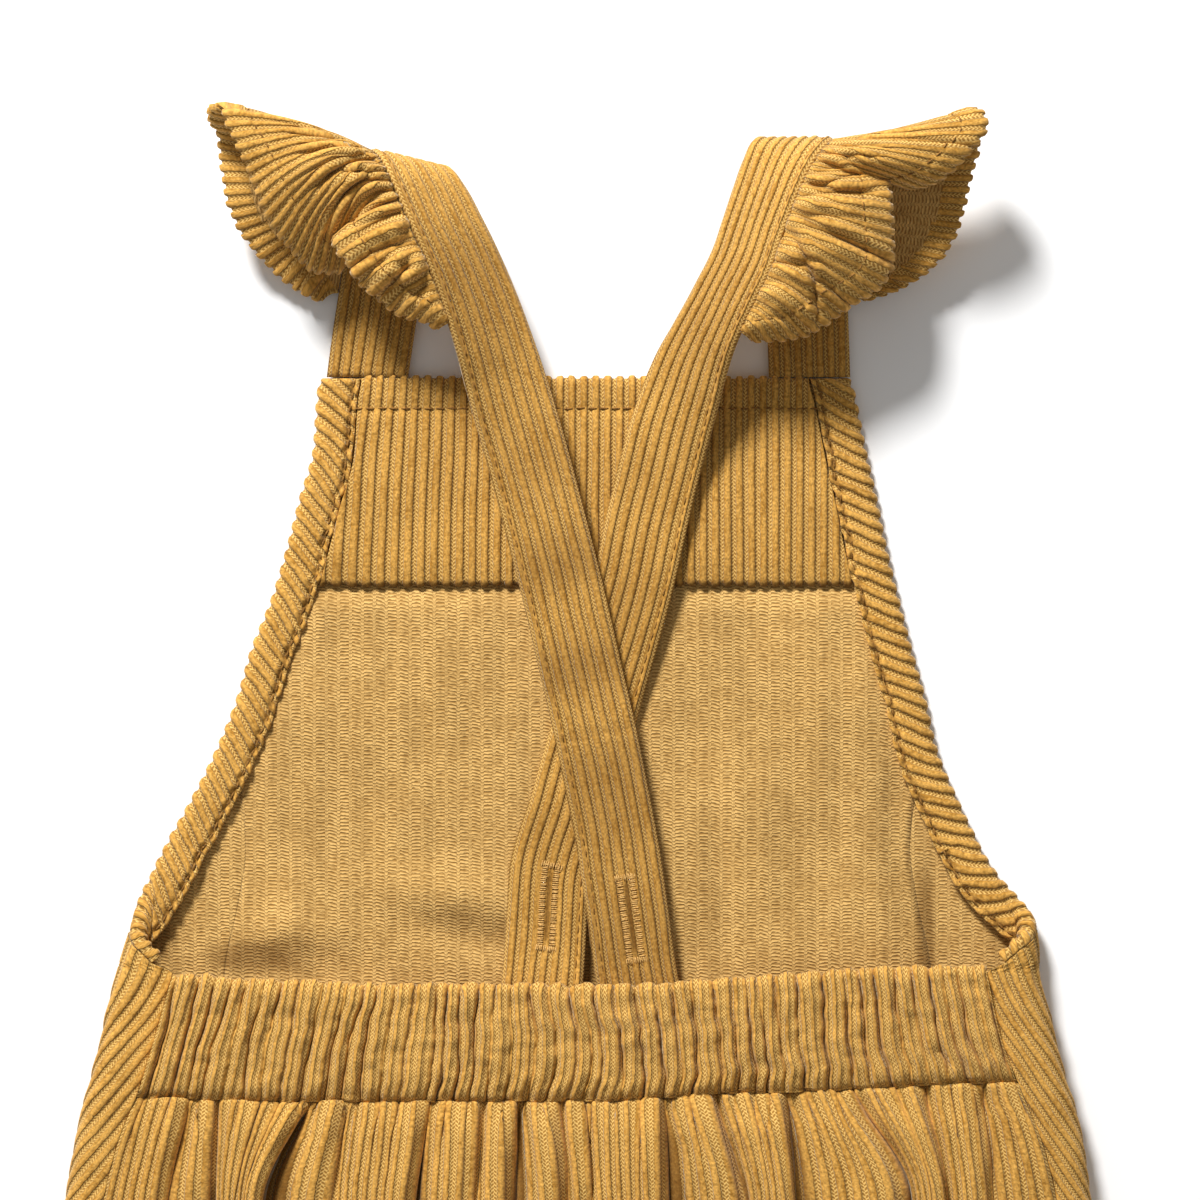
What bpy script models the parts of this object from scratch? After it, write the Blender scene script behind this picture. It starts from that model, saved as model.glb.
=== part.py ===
"""A baby's corduroy bodysuit, laid flat with its back uppermost.

All sizes below are in millimetres and become metres when a mesh is made. +Z is up, +Y points to
the shoulders, and the origin is under the middle of the garment, on the surface it lies on.
The front lies face down on that surface. The side panels turn up round the side folds to the back,
the back hangs gathered from an elastic waist casing, and the two straps rise from the bib, fold
over at the shoulders and cross on their way down to their buttons inside the casing.
"""
import math

import bpy
import numpy as np

MM = 0.001

# Cloth and sewing
CLOTH = 1.6                # one ply of corduroy
HALF = CLOTH / 2
GAP = 0.3                  # between pieces at a seam
SEAM_ALLOW = 0.35          # between a curved seam line and the piece on its inner side
WALE_PITCH = 3.0           # from ridge to ridge of the corduroy
WALE_RISE = 0.4            # height of a ridge over the ground of the cloth

# Garment
BIB_TOP = 144.9
FACING_DEPTH = 51.5
BINDING_WIDTH = 9.5
BINDING_INSET = 2.1        # from the binding's outer edge to the panel it covers
BINDING_CLEAR = 0.85       # more room under the binding where it climbs round the side fold
CASING_TUBE = 3.4          # the casing's own thickness, two plies and the elastic
CASING_UNDER = 8.3         # height of its inner face
CASING_GATHERS = 46
GATHER_RISE = 0.9
LEG_TOP = -128.0           # where the leg openings leave the side folds
LEG_CURVE = 1.5            # how deeply the leg openings are cut in; 1 would be straight
HEM_LEVEL = 8.0            # height of the back's hems at the leg openings
HEM_REACH = 38.0           # how far above its hem the back comes down to that height
CROTCH = -214.4
CROTCH_HALF = 37.0
CROTCH_RISE = -170.0       # the back lies as one flat tab from CROTCH_TAB down, and starts to
CROTCH_TAB = -200.0        # flatten at CROTCH_RISE
CROWN_HALF = 122.0         # half width over which the back rises to its middle
SIDE_FOLD_TOP = 26.0       # the side fold starts here and is full at SIDE_FOLD_FULL
SIDE_FOLD_FULL = 10.0
SIDE_LAP = 12.0            # how far a side panel comes on to the back at the underarm
ARMHOLE_FOOT = -4.0        # below this the side panels end at the back seam
STRAP_WIDTH = 20.4
STRAP_WALES = 7
STRAP_HALF = 1.3           # half of a strap's two pressed plies
BUTTON_RADIUS = 7.5
BUTTON_THICK = 2.0
BUTTON_FROM_END = 12.0     # from a strap's end to the middle of its button
SNAP_RADIUS = 5.0
SNAP_POST = 2.2            # radius of the post between a snap's two layers of cloth
SNAP_PITCH = 22.0
SNAP_FROM_EDGE = 7.5

MUSTARD = (0.50, 0.29, 0.075, 1.0)
GROUND = (0.56, 0.34, 0.11, 1.0)
HORN = (0.30, 0.19, 0.08, 1.0)
STEEL = (0.62, 0.60, 0.56, 1.0)

# Outer edge of the garment: height on the sheet, then the distance of the left and the right edge
# from the centre line.
OUTLINE = {
    "y": (-128, -115, -93, -59.4, -48, -29.4, -17, -4.4, 2, 8, 14.4, 20.6, 27, 39.4, 52, 64.4, 77,
          89.4, 102, 114.4, 127, 140.6, 145),
    "left": (133, 134, 133.5, 128, 126.3, 121.8, 118.5, 115.3, 113.3, 111.8, 110.8, 107.5, 103.5,
             96.3, 90, 85, 81.3, 76.3, 72.5, 69.3, 65.8, 64.8, 64),
    "right": (133, 134, 133.5, 128, 126.8, 121.9, 118.6, 115.3, 115, 114.6, 111.3, 105.8, 100.8,
              94.5, 89.3, 86.5, 83, 79.8, 76.8, 74.3, 71.5, 68.8, 67.5),
}
# Seam between the front and the side panels, from the armhole to the leg opening.
FRONT_SEAM = {
    "y": (-146, -100, -60, -3, 14.4, 27, 39, 46),
    "x": (99, 96, 92, 88.5, 85, 83.3, 84.5, 88),
}
# Seam between the side panels and the back.
BACK_SEAM = {
    "y": (-128, -93, -60.6, -45.6, -33, -20, -3),
    "left": (126.5, 124, 118.3, 114.5, 109.5, 105.5, 100.8),
    "right": (127, 125, 119.3, 115.5, 110.5, 105.5, 101.8),
}
# How far the armhole's edge has climbed round the side fold towards the back seam.
UNDERARM = {"y": (-2.5, 3, 8, 14.4, 22, 30), "share": (1.0, 0.72, 0.45, 0.24, 0.09, 0.0)}
# Height of the middle of the cloth on the back part of the side panels.
SIDE_HEIGHT = {"y": (-128, -93, -40, 0), "z": (8.0, 10.5, 10.5, 9.4)}
# The casing's upper and lower edge.
CASING_EDGES = {
    "x": (-105, -69.5, 5.5, 30.5, 68, 105),
    "top": (-3.6, -6.1, -6.9, -5.6, -3.1, -1.6),
    "bottom": (-34.6, -35.6, -35.6, -34, -32.6, -30.8),
}
# Height of the back down its middle.
BACK_HEIGHT = {
    "y": (-215, -190, -160, -128, -93, -60, -44, -34, -28),
    "z": (5.0, 6.5, 9.0, 11.0, 13.0, 14.0, 12.6, 9.6, 9.3),
}
# Folds that fall from the gathers: where each leaves the casing, its lean sideways for each
# millimetre down, its depth, its half width, and how far down it reaches.
FOLD_LIMIT = 6.0           # no fold sinks deeper than this
FOLD_WIDENS = 0.012        # share by which a fold grows wider for each millimetre down
FOLD_COLUMNS = ("x", "lean", "depth", "half", "reach")
FOLDS = (
    (-99, -0.50, 2.8, 4.0, 60),
    (-90, -0.10, 3.8, 4.0, 75),
    (-67, -0.45, 5.0, 4.2, 95),
    (-54, -0.33, 2.2, 3.8, 50),
    (-37, -0.16, 5.2, 4.0, 110),
    (-24, -0.20, 2.2, 3.6, 45),
    (-14.5, -0.03, 5.0, 4.0, 115),
    (-3, 0.06, 4.4, 3.8, 90),
    (8, 0.05, 2.8, 3.8, 60),
    (21.5, 0.02, 4.2, 4.0, 105),
    (35, 0.30, 4.4, 4.0, 90),
    (52, 0.10, 3.4, 3.8, 70),
    (67.8, 0.46, 5.0, 4.2, 100),
    (86, 0.14, 4.8, 4.0, 85),
    (99, 0.22, 2.4, 4.0, 50),
)
# Straps: the middle of the band from the bib's top, over the shoulder and down to its end, how far
# the band's width is turned from the sheet's X axis, and how far the edge that carries the ruffle
# is tilted up, both in degrees.
STRAP_COLUMNS = ("x", "y", "z", "turn", "tilt")
LEFT_STRAP = (
    (-52.8, 145.25, 1.95, 0, 0),
    (-51.0, 158, 2.0, -5, 0),
    (-49.0, 170, 2.5, -8, 2),
    (-46.8, 182, 3.8, -9, 8),
    (-45.0, 192, 6.2, -8, 16),
    (-43.4, 199.5, 9.6, -2, 21),
    (-41.8, 202, 13.6, 4, 25),
    (-39.9, 199.8, 17.2, 10, 28),
    (-37.0, 194, 19.2, 13, 30),
    (-33.2, 184.8, 19.4, 15, 31),
    (-28.9, 174.8, 18.4, 16, 30),
    (-24.3, 163.5, 16.2, 16, 26),
    (-20.6, 152.5, 13.6, 15.5, 20),
    (-17.8, 143, 11.4, 15, 11),
    (-13.1, 126.9, 9.7, 15, 2),
    (-7.0, 104, 9.2, 14.7, 0),
    (-3.9, 91.9, 8.9, 14.5, 0),
    (0.7, 72, 8.2, 13.5, 0),
    (3.6, 59.4, 7.8, 12.5, 0),
    (6.8, 44, 7.4, 11.5, 0),
    (10.5, 24.4, 7.1, 11, 0),
    (13.0, 11, 7.0, 11, 0),
    (16.1, -5.6, 6.2, 10.5, 0),
    (20.0, -27, 5.7, 10.5, 0),
)
RIGHT_STRAP = (
    (58.0, 145.25, 1.95, 0, 0),
    (57.6, 158, 2.0, 3, 0),
    (57.0, 172, 2.6, 5, 2),
    (56.4, 185, 4.2, 5, 8),
    (55.8, 194, 6.4, 3, 14),
    (55.2, 201.5, 9.8, -2, 18),
    (54.0, 205.0, 13.6, -8, 25),
    (51.8, 202.8, 17.2, -14, 32),
    (49.0, 197, 19.4, -17, 38),
    (46.2, 189.5, 20.0, -18.5, 41),
    (43.4, 181.5, 19.4, -19, 42),
    (41.0, 174.4, 18.4, -19, 42),
    (36.1, 164.4, 16.2, -19, 41),
    (31.6, 155.6, 13.4, -18.5, 37),
    (28.3, 148.1, 11.0, -17.5, 28),
    (24.6, 137, 8.4, -16, 14),
    (20.3, 121.9, 6.4, -15, 2),
    (13.3, 91.9, 5.6, -14.5, 0),
    (10.6, 82, 5.0, -14.5, 0),
    (5.5, 64.4, 4.1, -14, 0),
    (-1.5, 39.4, 3.6, -13.5, 0),
    (-7.3, 19.4, 3.6, -12, 0),
    (-8.4, 9, 3.9, -10, 0),
    (-9.9, -5.6, 5.3, -7, 0),
    (-12.2, -27, 5.7, -6, 0),
)
# Ruffles: how far along the strap a spoke starts, from the bib, where its hem lies, and how high
# the cloth bulges between the two.
SPOKE_COLUMNS = ("along", "x", "y", "z", "bulge")
LEFT_RUFFLE = (
    (109, -34.4, 156.6, 18.8, 0.0),
    (104.5, -38.3, 158.9, 18.5, 0.5),
    (99.5, -44.0, 160.4, 19.0, 1.0),
    (94.5, -48.8, 163.9, 20.0, 1.5),
    (90, -53.0, 167.4, 21.5, 2.0),
    (85.5, -56.5, 172.4, 23.0, 2.0),
    (81, -59.5, 176.4, 23.0, 2.0),
    (78, -60.0, 178.4, 18.5, 0.0),
    (75.8, -58.2, 175.9, 13.5, -2.5),
    (74, -59.3, 171.4, 11.0, -1.5),
    (71.8, -64.5, 171.1, 13.5, 0.5),
    (69.6, -69.5, 174.9, 18.0, 2.5),
    (67.6, -73.3, 179.4, 21.5, 3.0),
    (65.8, -76.5, 184.4, 24.0, 3.5),
    (64.2, -80.0, 192.9, 26.0, 3.5),
    (62.6, -83.0, 200.1, 27.0, 3.5),
    (61, -85.8, 206.1, 26.5, 3.0),
    (59.6, -88.0, 210.4, 25.0, 3.0),
    (57.5, -92.0, 213.4, 21.0, 3.0),
    (55, -91.5, 210.4, 16.5, 2.0),
    (52.5, -89.2, 205.6, 13.0, 1.5),
    (49, -88.6, 198.4, 10.5, 1.0),
    (45, -87.6, 191.4, 9.0, 1.0),
    (41, -84.4, 182.4, 7.5, 1.0),
    (37.5, -80.2, 176.4, 6.5, 1.0),
    (33.5, -75.4, 171.4, 5.5, 1.0),
    (29.5, -70.8, 167.6, 4.5, 0.5),
    (25, -66.6, 165.2, 3.5, 0.2),
    (20, -64.2, 164.2, 2.6, 0.0),
)
RIGHT_RUFFLE = (
    (117, 42.8, 153.8, 19.6, 0.0),
    (113, 48.0, 154.1, 19.0, 0.5),
    (109.5, 55.5, 155.1, 20.0, 1.0),
    (106, 61.0, 157.9, 21.0, 1.5),
    (102.2, 66.0, 161.6, 22.0, 1.5),
    (98.6, 71.3, 164.9, 22.5, 1.5),
    (95.2, 75.5, 168.4, 22.5, 1.5),
    (92, 77.5, 172.9, 22.5, 1.5),
    (88.8, 77.3, 178.4, 23.0, 1.5),
    (85.6, 77.0, 183.9, 24.0, 1.5),
    (82.7, 76.8, 189.4, 24.0, 1.0),
    (79.8, 76.3, 193.9, 22.0, -0.5),
    (77, 76.0, 196.6, 17.0, -3.0),
    (74.7, 78.8, 194.4, 15.0, -2.0),
    (72.2, 83.0, 191.9, 18.0, 1.0),
    (69.6, 88.0, 192.9, 22.0, 2.5),
    (67.6, 93.0, 196.4, 25.0, 3.0),
    (65.6, 97.5, 201.4, 26.5, 3.0),
    (63.5, 100.8, 206.9, 26.0, 2.5),
    (60.5, 100.0, 211.1, 21.5, 2.5),
    (57.5, 99.3, 208.4, 16.0, 2.0),
    (55, 99.3, 202.4, 12.0, 1.5),
    (51.5, 98.0, 197.4, 10.0, 1.0),
    (46.5, 96.8, 191.8, 8.5, 1.0),
    (41.5, 95.4, 186.4, 7.5, 1.0),
    (37, 94.0, 181.2, 6.5, 1.0),
    (32.5, 91.4, 176.0, 5.5, 1.0),
    (27.8, 86.6, 171.2, 4.5, 0.5),
    (23.2, 79.8, 167.0, 3.5, 0.2),
    (19.3, 72.0, 164.4, 2.6, 0.0),
)
RUFFLE_GATHERS = 13        # small gathers at a ruffle's seam
RUFFLE_GATHER_RISE = 0.8
RUFFLE_KNEE = 0.45         # how far out, as a share of its depth, a ruffle leaves the strap's plane
RUFFLE_GAP = 0.45          # between a ruffle and the strap's edge, which is tilted


# ---------------------------------------------------------------- curves and sheets

def smooth(xs, ys, x):
    """Values at x of a smooth curve through the rows (xs rising, ys) that never overshoots."""
    xs, ys, x = (np.asarray(values, float) for values in (xs, ys, x))
    step = np.diff(xs)
    slope = np.diff(ys) / step
    tangent = np.zeros_like(ys)
    before, after = slope[:-1], slope[1:]
    turning = before * after <= 0
    tangent[1:-1] = np.where(turning, 0.0, 2 * before * after / np.where(turning, 1.0, before + after))
    tangent[0], tangent[-1] = slope[0], slope[-1]
    i = np.clip(np.searchsorted(xs, x) - 1, 0, len(step) - 1)
    t = np.clip((x - xs[i]) / step[i], 0.0, 1.0)
    return ((2 * t**3 - 3 * t**2 + 1) * ys[i] + (t**3 - 2 * t**2 + t) * step[i] * tangent[i]
            + (3 * t**2 - 2 * t**3) * ys[i + 1] + (t**3 - t**2) * step[i] * tangent[i + 1])


def ease(low, high, x):
    """0 below low, 1 above high, and an S-curve between."""
    t = np.clip((np.asarray(x, float) - low) / (high - low), 0.0, 1.0)
    return t * t * (3 - 2 * t)


def unit(vectors):
    """The vectors at length one."""
    return vectors / np.linalg.norm(vectors, axis=-1, keepdims=True)


def grid_faces(rows, columns, flip=False):
    """Quads of a full grid of points numbered row by row."""
    quads = []
    for r in range(rows - 1):
        for c in range(columns - 1):
            a = r * columns + c
            quad = (a, a + 1, a + columns + 1, a + columns)
            quads.append(tuple(reversed(quad)) if flip else quad)
    return quads


def sheet_normals(points, faces):
    """Unit normals at a sheet's points, from the faces round each."""
    normals = np.zeros_like(points)
    for face in faces:
        a, b, c, d = (points[i] for i in face)
        across = np.cross(c - a, d - b)
        for i in face:
            normals[i] += across
    return unit(normals)


def make_object(name, points, faces, colour, roughness=0.9, metallic=0.0):
    """One named object with its own material, from points in millimetres."""
    mesh = bpy.data.meshes.new(name)
    mesh.from_pydata([tuple(p) for p in np.asarray(points) * MM], [], faces)
    mesh.update()
    mesh.shade_smooth()
    material = bpy.data.materials.new(name)
    material.use_nodes = True
    shader = material.node_tree.nodes["Principled BSDF"]
    shader.inputs["Base Color"].default_value = colour
    shader.inputs["Roughness"].default_value = roughness
    shader.inputs["Metallic"].default_value = metallic
    mesh.materials.append(material)
    piece = bpy.data.objects.new(name, mesh)
    bpy.context.scene.collection.objects.link(piece)
    return piece


def wall(name, points, faces, outer=HALF, inner=HALF, colour=MUSTARD):
    """A cloth wall round a sheet: its outer side lies `outer` along the normals, its inner side
    `inner` behind, and a rim joins them along every free edge."""
    points = np.asarray(points, float)
    normals = sheet_normals(points, faces)
    count = len(points)
    outer_side = points + normals * np.broadcast_to(outer, count)[:, None]
    inner_side = points - normals * np.broadcast_to(inner, count)[:, None]
    edges = {(face[i], face[(i + 1) % 4]) for face in faces for i in range(4)}
    rim = [(b, a, a + count, b + count) for a, b in sorted(edges) if (b, a) not in edges]
    back = [tuple(i + count for i in reversed(face)) for face in faces]
    return make_object(name, np.vstack((outer_side, inner_side)), list(faces) + back + rim, colour)


def turned(name, profile, centre, colour, sides=16, roughness=0.4, metallic=0.0):
    """A solid turned round the Z axis from rows of (radius, height), bottom to top."""
    points = [(0.0, 0.0, profile[0][1])]
    for radius, height in profile:
        for k in range(sides):
            angle = 2 * math.pi * k / sides
            points.append((radius * math.cos(angle), radius * math.sin(angle), height))
    points.append((0.0, 0.0, profile[-1][1]))
    faces = []
    for k in range(sides):
        after = (k + 1) % sides
        faces.append((0, 1 + after, 1 + k))
        for ring in range(len(profile) - 1):
            low = 1 + ring * sides
            faces.append((low + k, low + after, low + sides + after, low + sides + k))
        last = 1 + (len(profile) - 1) * sides
        faces.append((last + k, last + after, len(points) - 1))
    return make_object(name, np.array(points) + centre, faces, colour, roughness, metallic)


# ---------------------------------------------------------------- the body's flat development
# Each side's cloth is laid out flat from the centre line to the back seam: `across` is measured
# from the centre line and goes on round the side fold, `y` stays as it is.

def edge_of(side, y):
    """Distance from the centre line to the garment's outer edge."""
    return smooth(OUTLINE["y"], OUTLINE[side], y)


def fold_radius(y):
    """Radius of the side fold at the middle of the cloth."""
    return (smooth(SIDE_HEIGHT["y"], SIDE_HEIGHT["z"], y) - HALF) / 2


def back_seam(side, y):
    """Distance from the centre line to the back seam."""
    return smooth(BACK_SEAM["y"], BACK_SEAM[side], y)


def fold_start(side, y):
    """Distance from the centre line at which the cloth leaves the surface."""
    radius = fold_radius(y)
    beyond = underarm_share(y) * (math.pi * radius + SIDE_LAP)
    turned_by = np.minimum(beyond / radius, math.pi / 2)
    half_ply = HALF * ease(SIDE_FOLD_TOP, SIDE_FOLD_FULL, y)
    return edge_of(side, y) - half_ply - radius * np.sin(turned_by)


def underarm_share(y):
    """How much of the way to the back seam the cloth reaches at this height."""
    return smooth(UNDERARM["y"], UNDERARM["share"], y)


def seam_reach(side, y):
    """Length of cloth from the fold's start round to the back seam."""
    return math.pi * fold_radius(y) + fold_start(side, y) - back_seam(side, y)


def armhole_edge(side, y):
    """The armhole's edge in the flat development."""
    return fold_start(side, y) + underarm_share(y) * seam_reach(side, y)


def lay(side, across, y, inward=0.0):
    """Where a point of the flat development lies, `inward` millimetres inside the cloth's middle."""
    across, y = np.broadcast_arrays(np.asarray(across, float), np.asarray(y, float))
    start, radius = fold_start(side, y), fold_radius(y)
    beyond = across - start
    angle = np.clip(beyond / radius, 0.0, math.pi)
    returned = np.maximum(beyond - math.pi * radius, 0.0)
    x = start + np.minimum(beyond, 0.0) + radius * np.sin(angle) - returned
    z = HALF + radius * (1 - np.cos(angle))
    x = x - inward * np.sin(angle)
    z = z + inward * np.cos(angle)
    sign = 1.0 if side == "right" else -1.0
    return np.stack((sign * x, y, z), axis=-1)


def into_cloth(side, y):
    """Unit step in the flat development from the armhole's edge straight into the cloth."""
    step = 0.4
    slope = (armhole_edge(side, y + step) - armhole_edge(side, y - step)) / (2 * step)
    length = np.sqrt(1 + slope**2)
    return -1 / length, slope / length


def parallel_edge(side, y, width):
    """A line in the flat development that follows the armhole's edge `width` inside it."""
    heights = np.arange(BIB_TOP + BINDING_WIDTH + 2, ARMHOLE_FOOT - 1, -0.5)
    into_across, into_y = into_cloth(side, heights)
    reach = heights + width * into_y
    across = armhole_edge(side, heights) + width * into_across
    keep = np.concatenate(([True], reach[1:] < np.minimum.accumulate(reach)[:-1]))
    return np.interp(y, reach[keep][::-1], across[keep][::-1])


def leg_curve(x):
    """Height of the leg opening's hem at a distance from the centre line."""
    outer = edge_of("left", LEG_TOP)
    share = np.clip((outer - np.abs(x)) / (outer - CROTCH_HALF), 0, 1)
    return LEG_TOP + (CROTCH - LEG_TOP) * share**LEG_CURVE


def leg_edge(y):
    """Distance from the centre line to the leg opening's hem at a height."""
    outer = edge_of("left", LEG_TOP)
    share = np.clip((LEG_TOP - np.asarray(y, float)) / (LEG_TOP - CROTCH), 0, 1) ** (1 / LEG_CURVE)
    return outer + (CROTCH_HALF - outer) * share


# ---------------------------------------------------------------- panels

def front_reach(side, y):
    """Distance from the centre line to the front panel's edge."""
    if y > FRONT_SEAM["y"][-1]:
        return float(parallel_edge(side, y, BINDING_INSET))
    return float(min(smooth(FRONT_SEAM["y"], FRONT_SEAM["x"], y) - GAP / 2, leg_edge(y)))


def front_panel():
    """Bib and lower front in one panel, face down on the surface."""
    heights = (BIB_TOP, 136, 126, 114, 102, 89, 77, 64, 52, 46.1, 45.5, 42, 39, 32, 26, 12.5, -1, -20,
               -40, -70, -100, -128, -146, -158, -170, -182, -193, -202, -209, CROTCH)
    columns = 8
    points = []
    for y in heights:
        for x in np.linspace(-front_reach("left", y), front_reach("right", y), columns):
            points.append((x, y, HALF))
    return wall("front_panel", points, grid_faces(len(heights), columns, flip=True), colour=GROUND)


def side_panel(side):
    """A bias panel from the front seam round the side fold to the back seam."""
    heights = (45.5, 42, 39, 32, 26, 20.5, 16, 12.5, 9, 5.5, 2, -1, -4.5, -12, -20, -28, -38, -50, -66,
               -83, -100, -115, LEG_TOP)
    columns = 12
    flat_columns = 3
    points = []
    for y in heights:
        seam = smooth(FRONT_SEAM["y"], FRONT_SEAM["x"], y) + GAP / 2
        if y > ARMHOLE_FOOT:
            end = parallel_edge(side, y, BINDING_INSET)
        else:
            end = fold_start(side, y) + seam_reach(side, y) - GAP
        start = min(fold_start(side, y), seam + 0.4 * (end - seam))
        flat = np.linspace(seam, start, flat_columns)
        rest = np.linspace(start, end, columns - flat_columns + 1)
        across = np.concatenate((flat, rest[1:]))
        points.extend(lay(side, across, y))
    rows = len(heights)
    # The front part reaches on below the side fold, down to the leg opening.
    faces = grid_faces(rows, columns, flip=side == "left")
    last = (rows - 1) * columns
    below = [last + c for c in range(flat_columns)]
    for y in (-134, -139, -143):
        seam = smooth(FRONT_SEAM["y"], FRONT_SEAM["x"], y) + GAP / 2
        start = len(points)
        points.extend(lay(side, np.linspace(seam, leg_edge(y), flat_columns), y))
        row = list(range(start, start + flat_columns))
        for c in range(flat_columns - 1):
            quad = (below[c], below[c + 1], row[c + 1], row[c])
            faces.append(tuple(reversed(quad)) if side == "left" else quad)
        below = row
    return wall("side_panel_" + side, points, faces, colour=MUSTARD)


def bib_facing():
    """Corduroy turned to the inside of the bib, with its wales up and down."""
    heights = np.linspace(BIB_TOP, BIB_TOP - FACING_DEPTH, 4)
    cover = BINDING_WIDTH + 2 * GAP
    width = sum(parallel_edge(side, heights[1], cover) for side in ("left", "right"))
    count = 2 * int(round(width / WALE_PITCH))
    points, rise = [], []
    for y in heights:
        low, high = -parallel_edge("left", y, cover), parallel_edge("right", y, cover)
        for c in range(count + 1):
            points.append((low + (high - low) * c / count, y, CLOTH + GAP + HALF))
            rise.append(HALF + WALE_RISE * (c % 2))
    faces = grid_faces(len(heights), count + 1, flip=True)
    return wall("bib_facing", points, faces, outer=np.array(rise))


def armhole_binding(side):
    """A bias strip over the armhole's edge, from the bib's corner to the back seam."""
    heights = np.concatenate((np.linspace(BIB_TOP, 34, 12), np.linspace(27, 0.6, 14)))
    # Rows of (distance into the cloth from its edge, distance inside the middle of the cloth).
    profile = ((HALF, 0.1 - HALF), (HALF, 0.7), (1.25, 1.6), (2.4, 1.95), (5.6, 2.05),
               (BINDING_WIDTH, 1.9))
    points = []
    for y in heights:
        edge = armhole_edge(side, y)
        into_across, into_y = into_cloth(side, y)
        for width, inward in profile:
            here = min(y + into_y * width, BIB_TOP)
            clear = BINDING_CLEAR * ease(SIDE_FOLD_TOP + 4, 20, here) if inward > HALF else 0.0
            points.extend(lay(side, [edge + into_across * width], [here], inward + clear))
    faces = grid_faces(len(heights), len(profile), flip=side == "right")
    return wall("armhole_binding_" + side, points, faces)


# ---------------------------------------------------------------- waist casing and back

def casing_side(side, y):
    """Distance from the centre line to the casing's and the back's side seam."""
    return float(back_seam(side, y)) - SEAM_ALLOW


def casing_height(x, share):
    """Height on the sheet of a line `share` of the way from the casing's top to its bottom edge."""
    top = float(smooth(CASING_EDGES["x"], CASING_EDGES["top"], x))
    return top + (float(smooth(CASING_EDGES["x"], CASING_EDGES["bottom"], x)) - top) * share


def casing_foot(x):
    """Height of the back panel's top edge, just under the casing."""
    return float(smooth(CASING_EDGES["x"], CASING_EDGES["bottom"], x)) - GAP


def waist_casing():
    """An elasticated tube, thin along both edges, with upright gathers on its outer side."""
    count = CASING_GATHERS * 2
    shares = (0.0, 0.12, 0.5, 0.88, 1.0)
    edge_thick = 1.4
    depth = (edge_thick, CASING_TUBE, CASING_TUBE + 0.3, CASING_TUBE, edge_thick)
    ends = CASING_EDGES["x"][0], CASING_EDGES["x"][-1]
    points, rise, drop = [], [], []
    for share, thick in zip(shares, depth):
        for c in range(count + 1):
            u = c / count
            lean = 0.45 * math.sin(2.1 * c) * math.sin(math.pi * u)
            x = (u - 1) * casing_side("left", casing_height(ends[0], share))
            x += u * casing_side("right", casing_height(ends[1], share))
            x += lean * math.sin(math.pi * share)
            points.append((x, casing_height(x, share), CASING_UNDER + thick / 2))
            uneven = 0.75 + 0.25 * math.sin(1.7 * c)
            rise.append(thick / 2 + (GATHER_RISE * uneven * (c % 2) if 0 < share < 1 else 0.0))
            drop.append(thick / 2)
    faces = grid_faces(len(shares), count + 1, flip=True)
    return wall("waist_casing", points, faces, outer=np.array(rise), inner=np.array(drop))


def fold_depth(x, y):
    """How far the folds that fall from the gathers sink the back's cloth."""
    down = smooth(CASING_EDGES["x"], CASING_EDGES["bottom"], x) - y
    depth = 0.0
    for row in FOLDS:
        fold = dict(zip(FOLD_COLUMNS, row))
        centre = fold["x"] + fold["lean"] * down
        spread = fold["half"] * (1 + FOLD_WIDENS * down)
        fade = ease(-2, 12, down) * (1 - ease(0.45 * fold["reach"], fold["reach"], down))
        from_middle = np.abs(x - centre) / spread
        trough = np.exp(-from_middle**2) - 0.35 * np.exp(-(from_middle - 2.1) ** 2)
        depth = depth + fold["depth"] * fade * trough
    # Where folds meet, they sink hardly deeper together than one alone.
    return depth / (1 + (depth / FOLD_LIMIT) ** 4) ** 0.25


def back_height(x, y):
    """Height of the middle of the back's cloth, folds and all."""
    side_level = smooth(SIDE_HEIGHT["y"], SIDE_HEIGHT["z"], y)
    middle = smooth(BACK_HEIGHT["y"], BACK_HEIGHT["z"], y)
    crown = 1 - np.clip(np.abs(x) / CROWN_HALF, 0, 1) ** 4
    height = side_level + (middle - side_level) * crown
    tab = ease(CROTCH_RISE, CROTCH_TAB, y)
    height = height * (1 - tab) + middle * tab
    near_hem = 1 - ease(0, HEM_REACH, y - leg_curve(x))
    height = height + (HEM_LEVEL - height) * near_hem * (1 - tab)
    return height - fold_depth(x, y) * (1 - near_hem)


def back_panel():
    """The gathered back, from the casing to the leg openings and the crotch."""
    heights = (-34, -38, -43, -49, -57, -67, -80, -95, -112, -130, -148, -165, -180, -193, -204, CROTCH)
    columns = 66
    points = []
    for row, y in enumerate(heights):
        # The top row follows the casing's lower edge, and the rows below it less and less.
        follow = (1 - row / (len(heights) - 1)) ** 4
        ends = []
        for side, corner in (("left", CASING_EDGES["x"][0]), ("right", CASING_EDGES["x"][-1])):
            end_y = y + (casing_foot(corner) - heights[0]) * follow
            reach = min(casing_side(side, end_y), float(leg_edge(end_y)))
            ends.append(math.copysign(reach, corner))
        for x in np.linspace(ends[0], ends[1], columns):
            here = y + (casing_foot(x) - heights[0]) * follow
            points.append((x, here, float(back_height(x, here))))
    return wall("back_panel", points, grid_faces(len(heights), columns, flip=True))


# ---------------------------------------------------------------- straps and ruffles

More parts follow.
